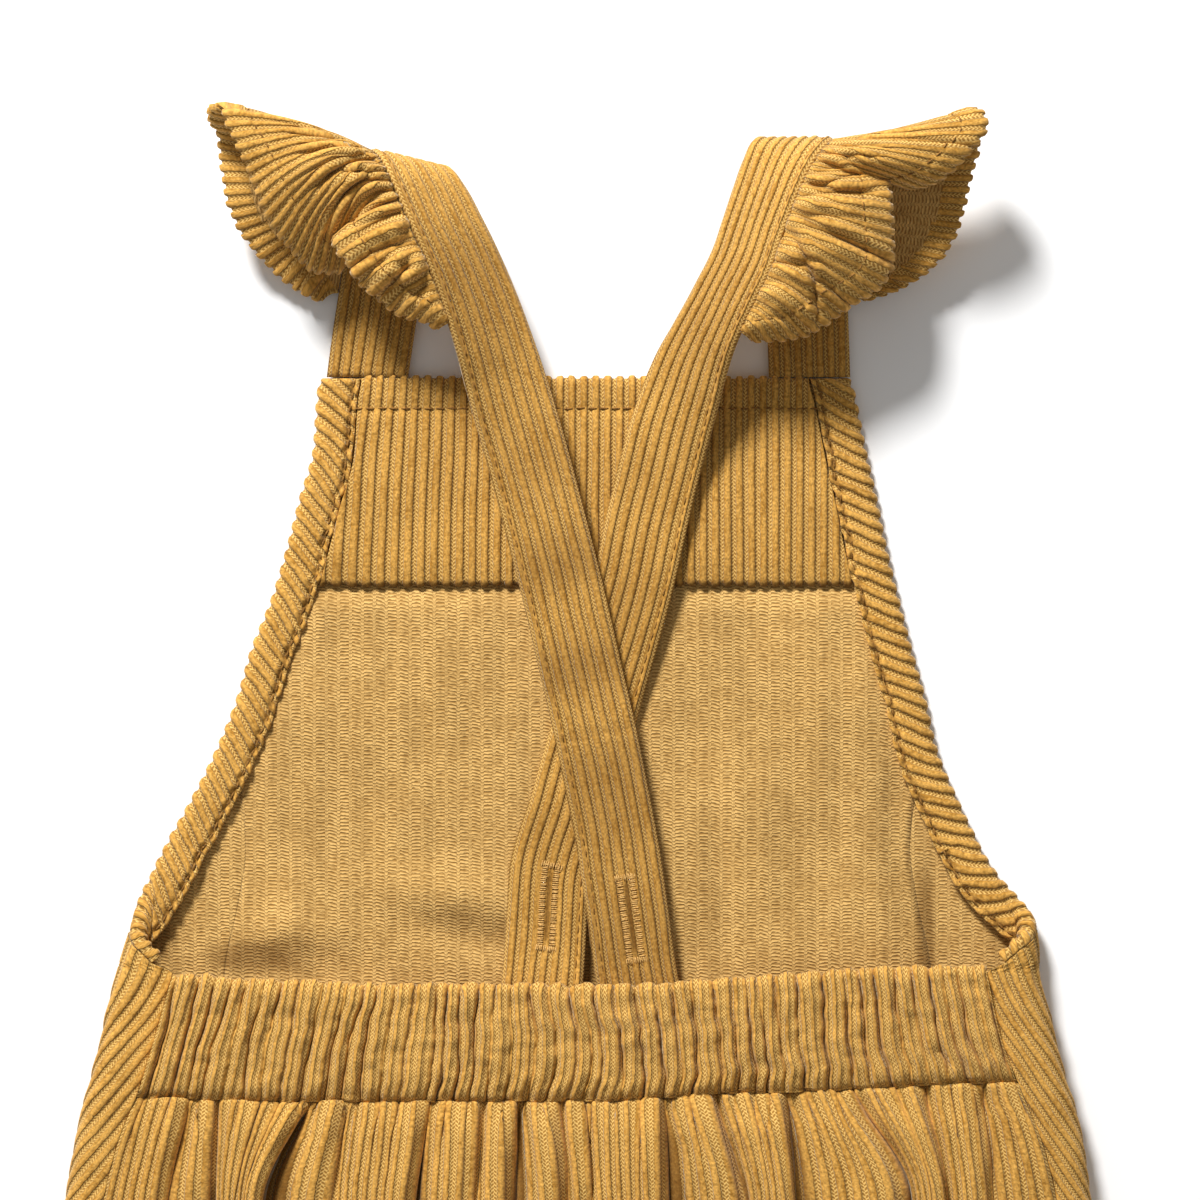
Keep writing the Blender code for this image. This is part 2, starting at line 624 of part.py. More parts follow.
def strap_frames(rows, along, outer_side):
    """Middle and width direction of a strap at distances from its bib end, and its length.
    outer_side is -1 where the ruffle is on the left edge and 1 where it is on the right."""
    table = dict(zip(STRAP_COLUMNS, np.array(rows, float).T))
    middle = np.stack((table["x"], table["y"], table["z"]), axis=-1)
    distance = np.concatenate(([0.0], np.cumsum(np.linalg.norm(np.diff(middle, axis=0), axis=1))))
    here = {key: smooth(distance, column, along) for key, column in table.items()}
    turn, tilt = np.radians(here["turn"]), np.radians(here["tilt"])
    width = np.stack((np.cos(turn) * np.cos(tilt), np.sin(turn) * np.cos(tilt),
                      outer_side * np.sin(tilt)), axis=-1)
    return np.stack((here["x"], here["y"], here["z"]), axis=-1), width, distance[-1]


def strap(name, rows, outer_side):
    """A strap of two pressed plies with seven wales on its outer face."""
    length = strap_frames(rows, [0.0], outer_side)[2]
    flat_part, fold_part = 38.0, 84.0
    stations = np.concatenate((np.linspace(0, flat_part, 4), np.linspace(flat_part, fold_part, 10)[1:],
                               np.linspace(fold_part, length, 13)[1:]))
    middle, width, _ = strap_frames(rows, stations, outer_side)
    columns = 2 * STRAP_WALES + 1
    offsets = np.linspace(-STRAP_WIDTH / 2, STRAP_WIDTH / 2, columns)
    points = (middle[:, None, :] + width[:, None, :] * offsets[None, :, None]).reshape(-1, 3)
    rise = np.tile(STRAP_HALF + WALE_RISE * (np.arange(columns) % 2), len(stations))
    faces = grid_faces(len(stations), columns, flip=True)
    return wall(name, points, faces, outer=rise, inner=STRAP_HALF)


def ruffle(name, rows, strap_rows, outer_side):
    """A gathered ruffle on a strap's outer edge, folded over the shoulder with the strap."""
    table = np.array(rows, float)
    index = np.arange(len(rows))
    columns, depth_rows = 54, 6
    place = np.linspace(0, len(rows) - 1, columns)
    values = {key: smooth(index, table[:, k], place) for k, key in enumerate(SPOKE_COLUMNS)}
    middle, width, _ = strap_frames(strap_rows, values["along"], outer_side)
    root = middle + outer_side * width * (STRAP_WIDTH / 2 + RUFFLE_GAP)
    hem = np.stack((values["x"], values["y"], values["z"]), axis=-1)
    span = np.linalg.norm(hem - root, axis=1, keepdims=True)
    knee = root + outer_side * width * span * RUFFLE_KNEE
    knee[:, 2] += values["bulge"]
    ripple = RUFFLE_GATHER_RISE * np.sin(2 * math.pi * RUFFLE_GATHERS * place / (len(rows) - 1))
    # The gathers are highest a third of the way out, and fade where the ruffle is narrow.
    ripple = ripple * np.minimum(1.0, span[:, 0] / 12.0)
    points = []
    for r in range(depth_rows):
        v = r / (depth_rows - 1)
        line = root * (1 - v) ** 2 + knee * 2 * v * (1 - v) + hem * v * v
        line[:, 2] += ripple * 6.8 * v * (1 - v) ** 2
        points.append(line)
    faces = grid_faces(depth_rows, columns, flip=outer_side > 0)
    return wall(name, np.array(points).reshape(-1, 3), faces)


# ---------------------------------------------------------------- fastenings

def strap_button(name, rows, outer_side):
    """A plain button under a strap's end, inside the casing."""
    length = strap_frames(rows, [0.0], outer_side)[2]
    middle, _, _ = strap_frames(rows, [length - BUTTON_FROM_END], outer_side)
    top = middle[0][2] - STRAP_HALF - GAP
    profile = ((BUTTON_RADIUS - 0.8, -BUTTON_THICK), (BUTTON_RADIUS, -BUTTON_THICK + 0.7),
               (BUTTON_RADIUS, -0.6), (BUTTON_RADIUS - 0.6, 0.0))
    return turned(name, profile, (middle[0][0], middle[0][1], top), HORN)


def crotch_snaps():
    """Three snap fasteners that close the crotch: caps on the back, studs between the layers."""
    for k in range(3):
        x, y = (k - 1) * SNAP_PITCH, CROTCH + SNAP_FROM_EDGE
        level = float(back_height(x, y))
        clear = GAP + 0.1
        cap = ((SNAP_RADIUS, 0.0), (SNAP_RADIUS, 0.5), (SNAP_RADIUS - 1.0, 1.1),
               (SNAP_RADIUS - 2.6, 1.2))
        turned(f"snap_cap_{k + 1}", cap, (x, y, level + HALF + clear), STEEL, 14, 0.3, 0.9)
        top = level - HALF - CLOTH - GAP - clear
        foot = SNAP_RADIUS - 0.4
        stud = ((foot, 0.0), (foot, 0.6), (SNAP_POST, 0.8), (SNAP_POST, top))
        turned(f"snap_stud_{k + 1}", stud, (x, y, CLOTH + GAP), STEEL, 14, 0.3, 0.9)


def build():
    """Clear the scene and make every piece."""
    for old in list(bpy.data.objects):
        bpy.data.objects.remove(old, do_unlink=True)
    front_panel()
    bib_facing()
    for side in ("left", "right"):
        side_panel(side)
        armhole_binding(side)
    waist_casing()
    back_panel()
    strap("strap_left", LEFT_STRAP, -1.0)
    strap("strap_right", RIGHT_STRAP, 1.0)
    ruffle("ruffle_left", LEFT_RUFFLE, LEFT_STRAP, -1.0)
    ruffle("ruffle_right", RIGHT_RUFFLE, RIGHT_STRAP, 1.0)
    strap_button("button_left", LEFT_STRAP, -1.0)
    strap_button("button_right", RIGHT_STRAP, 1.0)
    crotch_snaps()


build()
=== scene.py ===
"""Looks of a baby's corduroy bodysuit that lies flat with its back uppermost.

Lengths in the tables and functions are millimetres and become metres when a mesh is made.
+Z is up, +Y points to the shoulders, and the origin is under the middle of the garment.
A wale coordinate counts the ribs of the corduroy: whole numbers lie in the grooves.
"""
import math

import bpy
import numpy as np
from bpy.props import FloatProperty, FloatVectorProperty, PointerProperty
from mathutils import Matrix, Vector


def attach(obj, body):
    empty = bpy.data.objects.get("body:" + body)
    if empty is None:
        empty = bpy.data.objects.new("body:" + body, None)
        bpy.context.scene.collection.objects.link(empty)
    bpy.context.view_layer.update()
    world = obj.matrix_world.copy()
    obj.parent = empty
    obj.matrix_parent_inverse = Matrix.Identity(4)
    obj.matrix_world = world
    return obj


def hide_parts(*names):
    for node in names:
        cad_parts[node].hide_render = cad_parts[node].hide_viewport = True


bl_info = {
    "name": "Corduroy bodysuit",
    "version": (1, 0, 0),
    "blender": (4, 5, 0),
    "location": "3D Viewport > Sidebar > Bodysuit",
    "description": "A baby's ribbed bodysuit laid flat, with its gathers, ruffles and stitches",
    "category": "Object",
}

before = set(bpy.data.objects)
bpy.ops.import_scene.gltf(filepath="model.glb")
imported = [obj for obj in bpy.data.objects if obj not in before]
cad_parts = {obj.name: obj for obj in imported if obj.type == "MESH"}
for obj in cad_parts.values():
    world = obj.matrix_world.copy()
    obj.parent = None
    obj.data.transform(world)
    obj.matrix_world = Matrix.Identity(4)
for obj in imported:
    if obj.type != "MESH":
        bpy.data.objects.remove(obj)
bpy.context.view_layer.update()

MM = 0.001
SIDES = {"left": -1.0, "right": 1.0}  # which way along X each side of the garment lies

# Cloth and sewing
CLOTH = 1.6                # one ply of corduroy
HALF = CLOTH / 2
GAP = 0.3                  # between pieces at a seam
SEAM_SLACK = 0.05          # by which a cloth stops short of its seam
PILE_SHARE = 0.58          # share of a wale's width that is pile; the rest is woven ground

# Bib, side panels and armholes
BIB_TOP = 144.9
FACING_DEPTH = 51.5
FACING_STITCH = 137.4      # height of the row of stitches under the bib's top edge
FRONT_FREE = (93.6, 87.0)  # heights between which the front comes free of the facing
SIDE_FOLD_TOP = 26.0       # heights between which the side fold opens up
SIDE_FOLD_FULL = 10.0
SIDE_LAP = 12.0            # least cloth beyond the side fold
SIDE_TOP = 45.5            # height at which the side panels begin
SIDE_FOOT = -143.0
ARMHOLE_FOOT = -4.0
WALE_BEND = 0.55           # how much steeper the side panels' wales run under the armholes
BEND_FOOT = -16.0          # heights between which they turn steeper
BEND_FULL = -2.0
# Side panels: the angle between their wales and the sheet's X axis, and the share of the pitch.
SIDE_WALES = {"left": (50.0, 0.96), "right": (56.0, 0.86)}
# Painted shade on the inside under each armhole, and where it lies.
UNDERARM_SHADE = {"left": 0.95, "right": 0.38}  # how dark the inside is under each armhole
UNDERARM_SHADE_SPOT = (104.5, 6, 4.0, 9.0)  # its place and half widths, across and up
BINDING_WIDTH = 9.5
BINDING_INSET = 2.1        # from the binding's edge to the edge of the cloth inside it
BINDING_WALE_ANGLE = 52.0  # between the wales and the binding's edge
BINDING_STITCH = 1.5       # from the binding's inner edge to its stitches
# The binding's section: distance into the cloth from its edge, and inside the cloth's middle.
BINDING_PROFILE = (
    (1.95, -0.05), (1.2, -0.15), (0.65, 0.0), (0.5, 0.6), (1.1, 1.45), (2.3, 1.95), (5.6, 2.1),
    (9.6, 1.95),
)

# Waist casing and back
CASING_TUBE = 3.4          # thickness of the casing
CASING_UNDER = 8.3         # height of its underside
CASING_DEPTH = 32.0        # from the casing's top edge to its lower edge
CASING_STITCH = 0.962      # share of the way down the casing to its lower row of stitches
CASING_SWELL = 2.7         # height of the casing's gathers
BACK_WALES = 100           # wales across the back and the casing, folds and all
PER_WALE = 6               # columns of the back's cloth to each of them
CASING_PER_WALE = 8        # and of the casing's
BACK_RIB_WIDTH = 2.75      # width that a wale of the back takes between the folds
GATHER_SEED = 51
GATHER_STEPS = (1.3, 1.9, 2.0, 2.1, 2.5, 3.0)  # wales from groove to groove
GATHER_MIDDLE = 0.62       # swell of the gathers that lies level with the cloth
GATHER_FADES = 9.0         # how far down the back the gathers fade
GROOVE_WIDTH = 0.30        # how wide a groove's cloth looks beside a crest's
FOLD_LIMIT = 7.0           # no fold sinks deeper than this
FOLD_WIDENS = 0.014        # share by which a fold grows wider for each millimetre down
BACK_TOP = -34.0
CROWN_HALF = 122.0         # half width over which the back rises to its middle
LEG_TOP = -128.0           # outer end of the leg openings
LEG_CURVE = 1.5
LEG_HEM = 8.0              # width of the turned hem at the leg openings
LEG_STITCH = 1.0           # from the turned hem's inner edge to its stitches
HEM_LEVEL = 8.0            # height of the back's cloth at the hem
HEM_REACH = 38.0           # how far from the hem the cloth has sunk to it
CROTCH = -214.4
CROTCH_HALF = 37.0
CROTCH_RISE = -170.0       # heights on the sheet between which the crotch tab begins
CROTCH_TAB = -200.0

# Straps and ruffles
STRAP_WIDTH = 20.4
STRAP_WALES = 7
STRAP_HALF = 1.3           # half of the two pressed plies
STRAP_STITCH = {"left": -8.1, "right": 8.1}  # where the row of stitches runs across the width
STRAP_SHADE = {"left": 0.34, "right": 0.28}  # painted shade: how much darker each strap's pile is painted
STRAP_CREASES = {"left": ((212.0, 0.28), (52.0, 0.2)), "right": ((50.0, 0.2),)}  # place, depth
HOLE_HALF = 10.5           # half the length of a buttonhole
HOLE_FROM_END = {"left": 37.5, "right": 40.0}
HOLE_OFF = {"left": 0.6, "right": 0.2}  # from the strap's middle
HOLE_BESIDE = 1.55         # from the slit to the row of cross stitches on either side
HOLE_BAR = 2.5             # half the length of the bars at its ends
RUFFLE_KNEE = 0.45         # share of its depth at which a ruffle leaves the strap's plane
RUFFLE_GAP = 0.2
RUFFLE_ARCH = {"left": 5.0, "right": 2.0}  # how far a shoulder's spokes arch up the sheet
RUFFLE_HEM = 5.6           # width of a ruffle's turned hem
RUFFLE_RELIEF = {"left": 1.0, "right": 0.62}  # of the gathers, the creases and the wales
RUFFLE_GATHER_PITCH = 8.5  # along the hem; at the seam the gathers lie closer

# Fastenings
BUTTON_RADIUS = 7.5
BUTTON_THICK = 2.0
BUTTON_FROM_END = 12.0
SNAP_RADIUS = 5.0
SNAP_POST = 2.2
SNAP_PITCH = 22.0
SNAP_FROM_EDGE = 7.5

# Rows and columns of the cloths' grids. Where only one is given, the wales set the other.
FRONT_GRID = (170, 84)
FACING_GRID = (46, 350)
SIDE_ROWS = (220, 20)      # beside the body and beside the leg opening
SIDE_COLUMNS = 84
SIDE_FLAT_COLUMNS = 26     # of them, those that lie on the floor
BINDING_COLUMNS = 30
BINDING_STEP = 0.5         # from row to row, in millimetres
BACK_ROWS = 78
STRAP_ROWS = 190
RUFFLE_ROWS = 30

# Stage: the floor and the sensor in millimetres, the rest in metres
FLOOR_LEVEL = -0.3
FLOOR_HALF = 2500.0
SENSOR = 36.0
CAMERA_HEIGHT = 1.5
GARMENT_LEVEL = 0.006      # where the photograph's scale holds
FRAME_WIDTH = 0.300        # across the picture at that level
FRAME_CENTRE = (0.0055, 0.0894)
KEY_PLACE = (-0.60, 1.52, 1.10)
KEY_AIM = (0.0, 0.08, 0.0)
KEY_SIZE = 0.45
KEY_ENERGY = 63.0
ROOM_COLOUR = (1.0, 0.985, 0.96, 1.0)
ROOM_LIGHT = 0.33


def by_row(names, rows):
    """A table as one dictionary for each of its rows."""
    return [dict(zip(names, row)) for row in rows]


def by_column(names, rows):
    """A table as one array for each of its columns."""
    return dict(zip(names, np.array(rows, float).T))


# Outer edge of the garment: height on the sheet, then the distance of the left and the right edge
# from the centre line.
OUTLINE = {
    "y": (-128, -115, -93, -59.4, -48, -29.4, -17, -4.4, 2, 8, 14.4, 20.6, 27, 39.4, 52, 64.4, 77,
          89.4, 102, 114.4, 127, 140.6, 145),
    "left": (133, 134, 133.5, 128, 126.3, 121.8, 118.5, 115.3, 113.3, 111.8, 110.8, 107.5, 103.5,
             96.3, 90, 85, 81.3, 76.3, 72.5, 69.3, 65.8, 64.8, 64),
    "right": (133, 134, 133.5, 128, 126.8, 121.9, 118.6, 115.3, 115, 114.6, 111.3, 105.8, 100.8,
              94.5, 89.3, 86.5, 83, 79.8, 76.8, 74.3, 71.5, 68.8, 67.5),
}
# Seam between the front and the side panels, from the armhole to the leg opening.
FRONT_SEAM = {
    "y": (-146, -100, -60, -3, 14.4, 27, 39, 46),
    "x": (99, 96, 92, 88.5, 85, 83.3, 84.5, 88),
}
# Seam between the side panels and the back.
BACK_SEAM = {
    "y": (-128, -93, -60.6, -45.6, -33, -20, -3),
    "left": (126.5, 124, 118.3, 114.5, 109.5, 105.5, 100.8),
    "right": (127, 125, 119.3, 115.5, 110.5, 105.5, 101.8),
}
# How far the armhole's edge has climbed round the side fold towards the back seam.
UNDERARM = {"y": (-2.5, 3, 8, 14.4, 22, 30), "share": (1.0, 0.72, 0.45, 0.24, 0.09, 0.0)}
# Height of the middle of the cloth on the back part of the side panels.
SIDE_HEIGHT = {"y": (-128, -93, -40, 0), "z": (8.0, 10.5, 10.5, 9.4)}
# The casing's upper and lower edge.
CASING_EDGES = {
    "x": (-105, -69.5, 5.5, 30.5, 68, 105),
    "top": (-3.6, -6.1, -6.9, -5.6, -3.1, -1.6),
    "bottom": (-34.6, -35.6, -35.6, -34, -32.6, -30.8),
}
# Height of the back down its middle.
BACK_HEIGHT = {
    "y": (-215, -190, -160, -128, -93, -60, -44, -34, -28),
    "z": (5.0, 6.5, 9.0, 11.0, 13.0, 14.0, 12.6, 9.6, 9.3),
}
# Folds that fall from the gathers: how far from the centre line each lies at the casing, 25 mm and
# 110 mm below it, its depth, and how far down it reaches.
FOLD_MARKS = (0.0, 25.0, 110.0)
FOLDS = by_row(("x", "mid", "end", "depth", "reach"), (
    (-97, -102.5, -109, 3.6, 60),
    (-89.8, -89.8, -95, 4.6, 75),
    (-67.3, -79, -84, 6.6, 100),
    (-57, -60, -68, 3.0, 40),
    (-36.8, -40.6, -48, 6.4, 115),
    (-23.5, -24.5, -27, 3.0, 40),
    (-15.5, -15.6, -17, 6.2, 110),
    (-5, -2, 0, 5.2, 80),
    (2.3, 3.6, 8, 3.2, 45),
    (21.5, 21.9, 25, 5.2, 110),
    (34, 42, 50, 5.8, 95),
    (51.5, 53.8, 62, 4.2, 70),
    (67.8, 83.5, 90, 6.6, 105),
    (86, 91.5, 98, 6.0, 85),
    (100.5, 103, 108, 3.0, 50),
))
# Straps: the middle of the band from the bib's top, over the shoulder and down to its end, how far
# the band's width is turned from the sheet's X axis, and how far the edge that carries the ruffle
# is tilted up, both in degrees.
STRAP_COLUMNS = ("x", "y", "z", "turn", "tilt")
STRAPS = {
    "left": by_column(STRAP_COLUMNS, (
        (-52.8, 145.25, 1.95, 0, 0),
        (-51.0, 158, 2.0, -5, 0),
        (-49.0, 170, 2.5, -8, 2),
        (-46.8, 182, 3.8, -9, 8),
        (-45.2, 190.5, 6.2, -11, 14),
        (-44.0, 196.3, 9.6, -13, 18),
        (-42.6, 198.4, 13.6, -13, 22),
        (-40.4, 197.3, 17.0, -9, 26),
        (-37.2, 192.4, 19.2, -1, 29),
        (-33.2, 184.0, 19.6, 10, 31),
        (-28.9, 174.8, 18.4, 15, 30),
        (-24.3, 163.5, 16.2, 16, 26),
        (-20.6, 152.5, 13.6, 15.5, 20),
        (-17.8, 143, 11.4, 15, 11),
        (-13.1, 126.9, 9.7, 15, 2),
        (-7.0, 104, 9.2, 14.7, 0),
        (-3.9, 91.9, 8.9, 14.5, 0),
        (0.7, 72, 8.2, 13.5, 0),
        (3.6, 59.4, 7.8, 12.5, 0),
        (6.8, 44, 7.4, 11.5, 0),
        (10.5, 24.4, 7.1, 11, 0),
        (12.4, 11, 7.0, 11, 0),
        (14.8, -5.6, 6.2, 10.5, 0),
        (20.0, -27, 5.7, 10.5, 0),
    )),
    "right": by_column(STRAP_COLUMNS, (
        (58.0, 145.25, 1.95, 0, 0),
        (57.6, 158, 2.0, 3, 0),
        (57.0, 172, 2.6, 5, 2),
        (56.4, 185, 4.2, 5, 8),
        (55.8, 194, 6.4, 3, 14),
        (55.2, 200.4, 9.8, 1, 18),
        (54.0, 203.4, 13.6, -1, 24),
        (51.8, 201.7, 17.2, -8, 31),
        (49.0, 196.6, 19.4, -14, 38),
        (46.2, 189.5, 20.0, -18.5, 41),
        (43.4, 181.5, 19.4, -19, 42),
        (41.0, 174.4, 18.4, -19, 42),
        (36.1, 164.4, 16.2, -19, 41),
        (31.6, 155.6, 13.4, -18.5, 37),
        (28.3, 148.1, 11.0, -17.5, 28),
        (24.6, 137, 8.4, -16, 14),
        (20.3, 121.9, 6.4, -15, 2),
        (13.3, 91.9, 5.6, -14.5, 0),
        (10.6, 82, 5.0, -14.5, 0),
        (5.5, 64.4, 4.1, -14, 0),
        (-1.5, 39.4, 3.6, -13.5, 0),
        (-7.3, 19.4, 3.6, -12, 0),
        (-7.9, 9, 3.9, -10, 0),
        (-8.9, -5.6, 5.3, -7, 0),
        (-12.2, -27, 5.7, -6, 0),
    )),
}
# Ruffles: how far along the strap a spoke starts, from the bib, where its hem lies, and how high
# the cloth bulges between the two.
SPOKE_COLUMNS = ("along", "x", "y", "z", "bulge")
RUFFLES = {
    "left": by_column(SPOKE_COLUMNS, (
        (103.4, -34.4, 156.6, 18.8, 0.0),
        (98.9, -38.3, 158.9, 18.5, 0.5),
        (93.9, -44.0, 160.4, 19.0, 1.0),
        (88.9, -48.8, 163.9, 20.0, 1.5),
        (84.6, -53.0, 167.4, 21.5, 2.0),
        (80.4, -56.5, 172.4, 23.0, 2.0),
        (76.2, -59.5, 176.4, 23.0, 2.0),
        (73.4, -60.0, 178.4, 18.5, 0.0),
        (71.4, -58.2, 175.9, 13.5, -2.5),
        (69.7, -59.3, 171.4, 11.0, -1.5),
        (67.6, -64.5, 171.1, 13.5, 0.5),
        (65.6, -69.5, 174.9, 18.0, 2.5),
        (63.7, -73.3, 179.4, 21.5, 3.0),
        (62.1, -76.5, 184.4, 24.0, 3.5),
        (60.6, -80.0, 192.9, 26.0, 3.5),
        (59.2, -83.0, 200.1, 27.0, 3.5),
        (57.7, -85.8, 206.1, 26.5, 3.0),
        (56.4, -86.8, 209.4, 25.8, 3.0),
        (55.4, -88.4, 211.4, 25.0, 3.0),
        (54.4, -90.8, 211.0, 21.5, 3.0),
        (52.5, -91.2, 208.6, 17.0, 2.0),
        (50.2, -89.2, 205.6, 13.0, 1.5),
        (47.3, -88.6, 198.4, 10.5, 1.0),
        (43.9, -87.6, 191.4, 11.0, 1.0),
        (40.5, -84.4, 182.4, 9.5, 1.0),
        (37.5, -80.2, 176.4, 8.0, 1.0),
        (33.5, -75.4, 171.4, 5.5, 1.0),
        (29.5, -70.8, 167.6, 4.5, 0.5),
        (25, -66.6, 165.2, 3.5, 0.2),
        (20, -64.2, 164.2, 2.6, 0.0),
    )),
    "right": by_column(SPOKE_COLUMNS, (
        (114.5, 42.8, 153.8, 19.6, 0.0),
        (109.6, 48.0, 154.1, 19.0, 0.5),
        (105.1, 55.5, 155.1, 20.0, 1.0),
        (100.6, 61.0, 157.9, 21.0, 1.5),
        (96.0, 66.0, 161.6, 22.0, 1.5),
        (91.7, 71.3, 164.9, 22.5, 1.5),
        (88.0, 75.5, 168.4, 22.5, 1.5),
        (84.7, 77.5, 172.9, 22.5, 1.5),
        (81.4, 77.3, 178.4, 23.0, 1.5),
        (78.3, 77.0, 183.9, 24.0, 1.5),
        (75.6, 76.8, 189.4, 24.0, 1.0),
        (73.5, 76.3, 193.9, 22.0, -0.5),
        (71.7, 76.0, 196.6, 17.0, -3.0),
        (70.1, 78.8, 194.4, 15.0, -2.0),
        (68.4, 83.0, 191.9, 18.0, 1.0),
        (66.6, 88.0, 192.9, 22.0, 2.5),
        (65.3, 93.0, 196.4, 25.0, 3.0),
        (63.6, 97.5, 201.4, 26.5, 3.0),
        (61.9, 100.6, 205.6, 26.2, 2.5),
        (60.6, 100.2, 209.0, 25.6, 2.5),
        (59.3, 97.9, 210.6, 22.5, 2.5),
        (57.1, 97.6, 208.2, 17.5, 2.0),
        (54.3, 99.3, 202.4, 14.0, 1.5),
        (51.2, 98.0, 197.4, 13.0, 1.0),
        (46.5, 96.8, 191.8, 12.5, 1.0),
        (41.5, 95.4, 186.4, 12.0, 1.0),
        (37.0, 94.0, 181.2, 11.0, 1.0),
        (32.5, 91.4, 176.0, 9.5, 1.0),
        (27.8, 86.6, 171.2, 7.5, 0.5),
        (23.2, 79.8, 167.0, 5.2, 0.2),
        (19.3, 72.0, 164.4, 2.6, 0.0),
    )),
}
# Soft swells (above 0) and hollows of the front panel, seen from inside.
FRONT_DIMPLES = by_row(("x", "y", "long", "wide", "turn", "rise"), (
    (-76, -1, 14, 4, -8, -1.2),
    (-76, 7, 20, 5, -4, 0.9),
    (-26, 6, 16, 5, -14, -1.2),
    (-30, 15, 22, 6, -8, 0.9),
    (34, 14, 5, 26, 0, -0.9),
    (44, 20, 8, 34, 3, 0.7),
    (81, 24, 2.6, 26, 4, -1.5),
    (4.0, -3, 2.6, 8, -6, -2.6),
    (76, 24, 6, 30, 4, 0.8),
    (-60, 60, 30, 12, 20, 0.5),
    (52, 70, 26, 10, -25, 0.4),
))
# Soft shadows on the inside over the side seams: middle, half widths along X and Y, how dark.
SEAM_SHADOWS = ((-83, -0.3, 10, 4.2, 1.1), (87.0, 4, 2.4, 19, 1.3))
# Creases of the ruffles: the spoke each starts and ends at, from which to which share of the depth
# it runs, how deep it is and half its width.
CREASE_COLUMNS = ("start", "end", "from", "to", "depth", "half")
RUFFLE_CREASES = {
    "left": by_row(CREASE_COLUMNS, (
        (15.3, 15.2, 0.15, 0.6, 1.6, 1.2),
        (13.9, 14.0, 0.2, 0.6, 1.8, 1.2),
        (12.4, 12.0, 0.1, 0.6, 2.6, 1.5),
        (10.6, 10.2, 0.2, 0.8, 1.6, 1.2),
        (5.0, 4.8, 0.35, 1.1, 2.0, 1.4),
        (3.4, 3.0, 0.3, 1.1, 1.4, 1.2),
        (2.2, 2.0, 0.1, 0.6, 1.6, 1.2),
        (17.6, 17.4, 0.3, 1.1, 0.9, 1.0),
    )),
    "right": by_row(CREASE_COLUMNS, (
        (10.2, 10.0, 0.1, 0.85, 2.8, 1.5),
        (7.4, 6.9, 0.15, 1.1, 2.4, 1.5),
        (6.0, 2.7, 0.15, 0.95, 2.0, 1.3),
        (4.6, 4.2, 0.3, 1.1, 1.5, 1.2),
        (14.6, 15.6, 0.05, 0.5, 1.6, 1.3),
        (17.4, 17.0, 0.2, 1.1, 1.1, 1.0),
        (19.0, 19.3, 0.1, 0.9, 0.9, 0.9),
    )),
}


def smooth(xs, ys, x):
    """Values at x of a smooth curve through the rows (xs rising, ys) that never overshoots."""
    xs, ys, x = (np.asarray(values, float) for values in (xs, ys, x))
    step = np.diff(xs)
    slope = np.diff(ys) / step
    tangent = np.zeros_like(ys)
    before, after = slope[:-1], slope[1:]
    turning = before * after <= 0
    total = np.where(turning, 1.0, before + after)
    tangent[1:-1] = np.where(turning, 0.0, 2 * before * after / total)
    tangent[0], tangent[-1] = slope[0], slope[-1]
    i = np.clip(np.searchsorted(xs, x) - 1, 0, len(step) - 1)
    t = np.clip((x - xs[i]) / step[i], 0.0, 1.0)
    return ((2 * t**3 - 3 * t**2 + 1) * ys[i] + (t**3 - 2 * t**2 + t) * step[i] * tangent[i]
            + (3 * t**2 - 2 * t**3) * ys[i + 1] + (t**3 - t**2) * step[i] * tangent[i + 1])


def ease(low, high, x):
    """0 below low, 1 above high, and an S-curve between."""
    t = np.clip((np.asarray(x, float) - low) / (high - low), 0.0, 1.0)
    return t * t * (3 - 2 * t)


def bell(distance, half):
    """1 at no distance, falling smoothly to about a third at `half`."""
    return np.exp(-((distance / half) ** 2))


def index_of(value, rising):
    """Fractional index of a value among rising values."""
    return np.interp(value, rising, np.arange(len(rising)))


def unit(vectors):
    """The vectors at length one."""
    return vectors / np.linalg.norm(vectors, axis=-1, keepdims=True)


# ---------------------------------------------------------------- nodes

class Value:
    """A value in a node tree. Sums written on it add the Math nodes."""

    def __init__(self, nodes, socket):
        self.nodes, self.socket = nodes, socket

    def _sum(self, operation, other=None, swapped=False):
        pair = (other, self) if swapped else (self, other)
        return self.nodes.node("ShaderNodeMath", {"operation": operation}, *pair)

    def __add__(self, other):
        return self._sum("ADD", other)

    def __radd__(self, other):
        return self._sum("ADD", other, True)

    def __sub__(self, other):
        return self._sum("SUBTRACT", other)

    def __rsub__(self, other):
        return self._sum("SUBTRACT", other, True)

    def __mul__(self, other):
        return self._sum("MULTIPLY", other)

    def __rmul__(self, other):
        return self._sum("MULTIPLY", other, True)

    def __pow__(self, other):
        return self._sum("POWER", other)

    def __abs__(self):
        return self._sum("ABSOLUTE")

    def part(self):
        """What is left over a whole number."""
        return self._sum("FRACT")

    def wave(self):
        """0 to 1 and back, once for each whole number."""
        return (self * (2 * math.pi))._sum("COSINE") * -0.5 + 0.5

    def step(self, low, high):
        """0 below low, 1 above high, and an S-curve between."""
        smoothed = {"interpolation_type": "SMOOTHSTEP"}
        return self.nodes.node("ShaderNodeMapRange", smoothed, self, low, high)


class Nodes:
    """A node tree, and the one way in which nodes are added to it."""

    def __init__(self, tree):
        self.tree = tree

    def put(self, value, socket):
        """Links a value to a socket, or sets the socket to a number, colour or material."""
        if isinstance(value, Value):
            self.tree.links.new(value.socket, socket)
        elif value is not None:
            socket.default_value = value

    def node(self, kind, settings=None, *values, out=0, **named):
        """Adds a node: its settings first, then values or links by place or by socket name."""
        made = self.tree.nodes.new(kind)
        for key, value in (settings or {}).items():
            setattr(made, key, value)
        for key, value in enumerate(values):
            self.put(value, made.inputs[key])
        for key, value in named.items():
            self.put(value, made.inputs[key.replace("_", " ")])
        return Value(self, made.outputs[out])


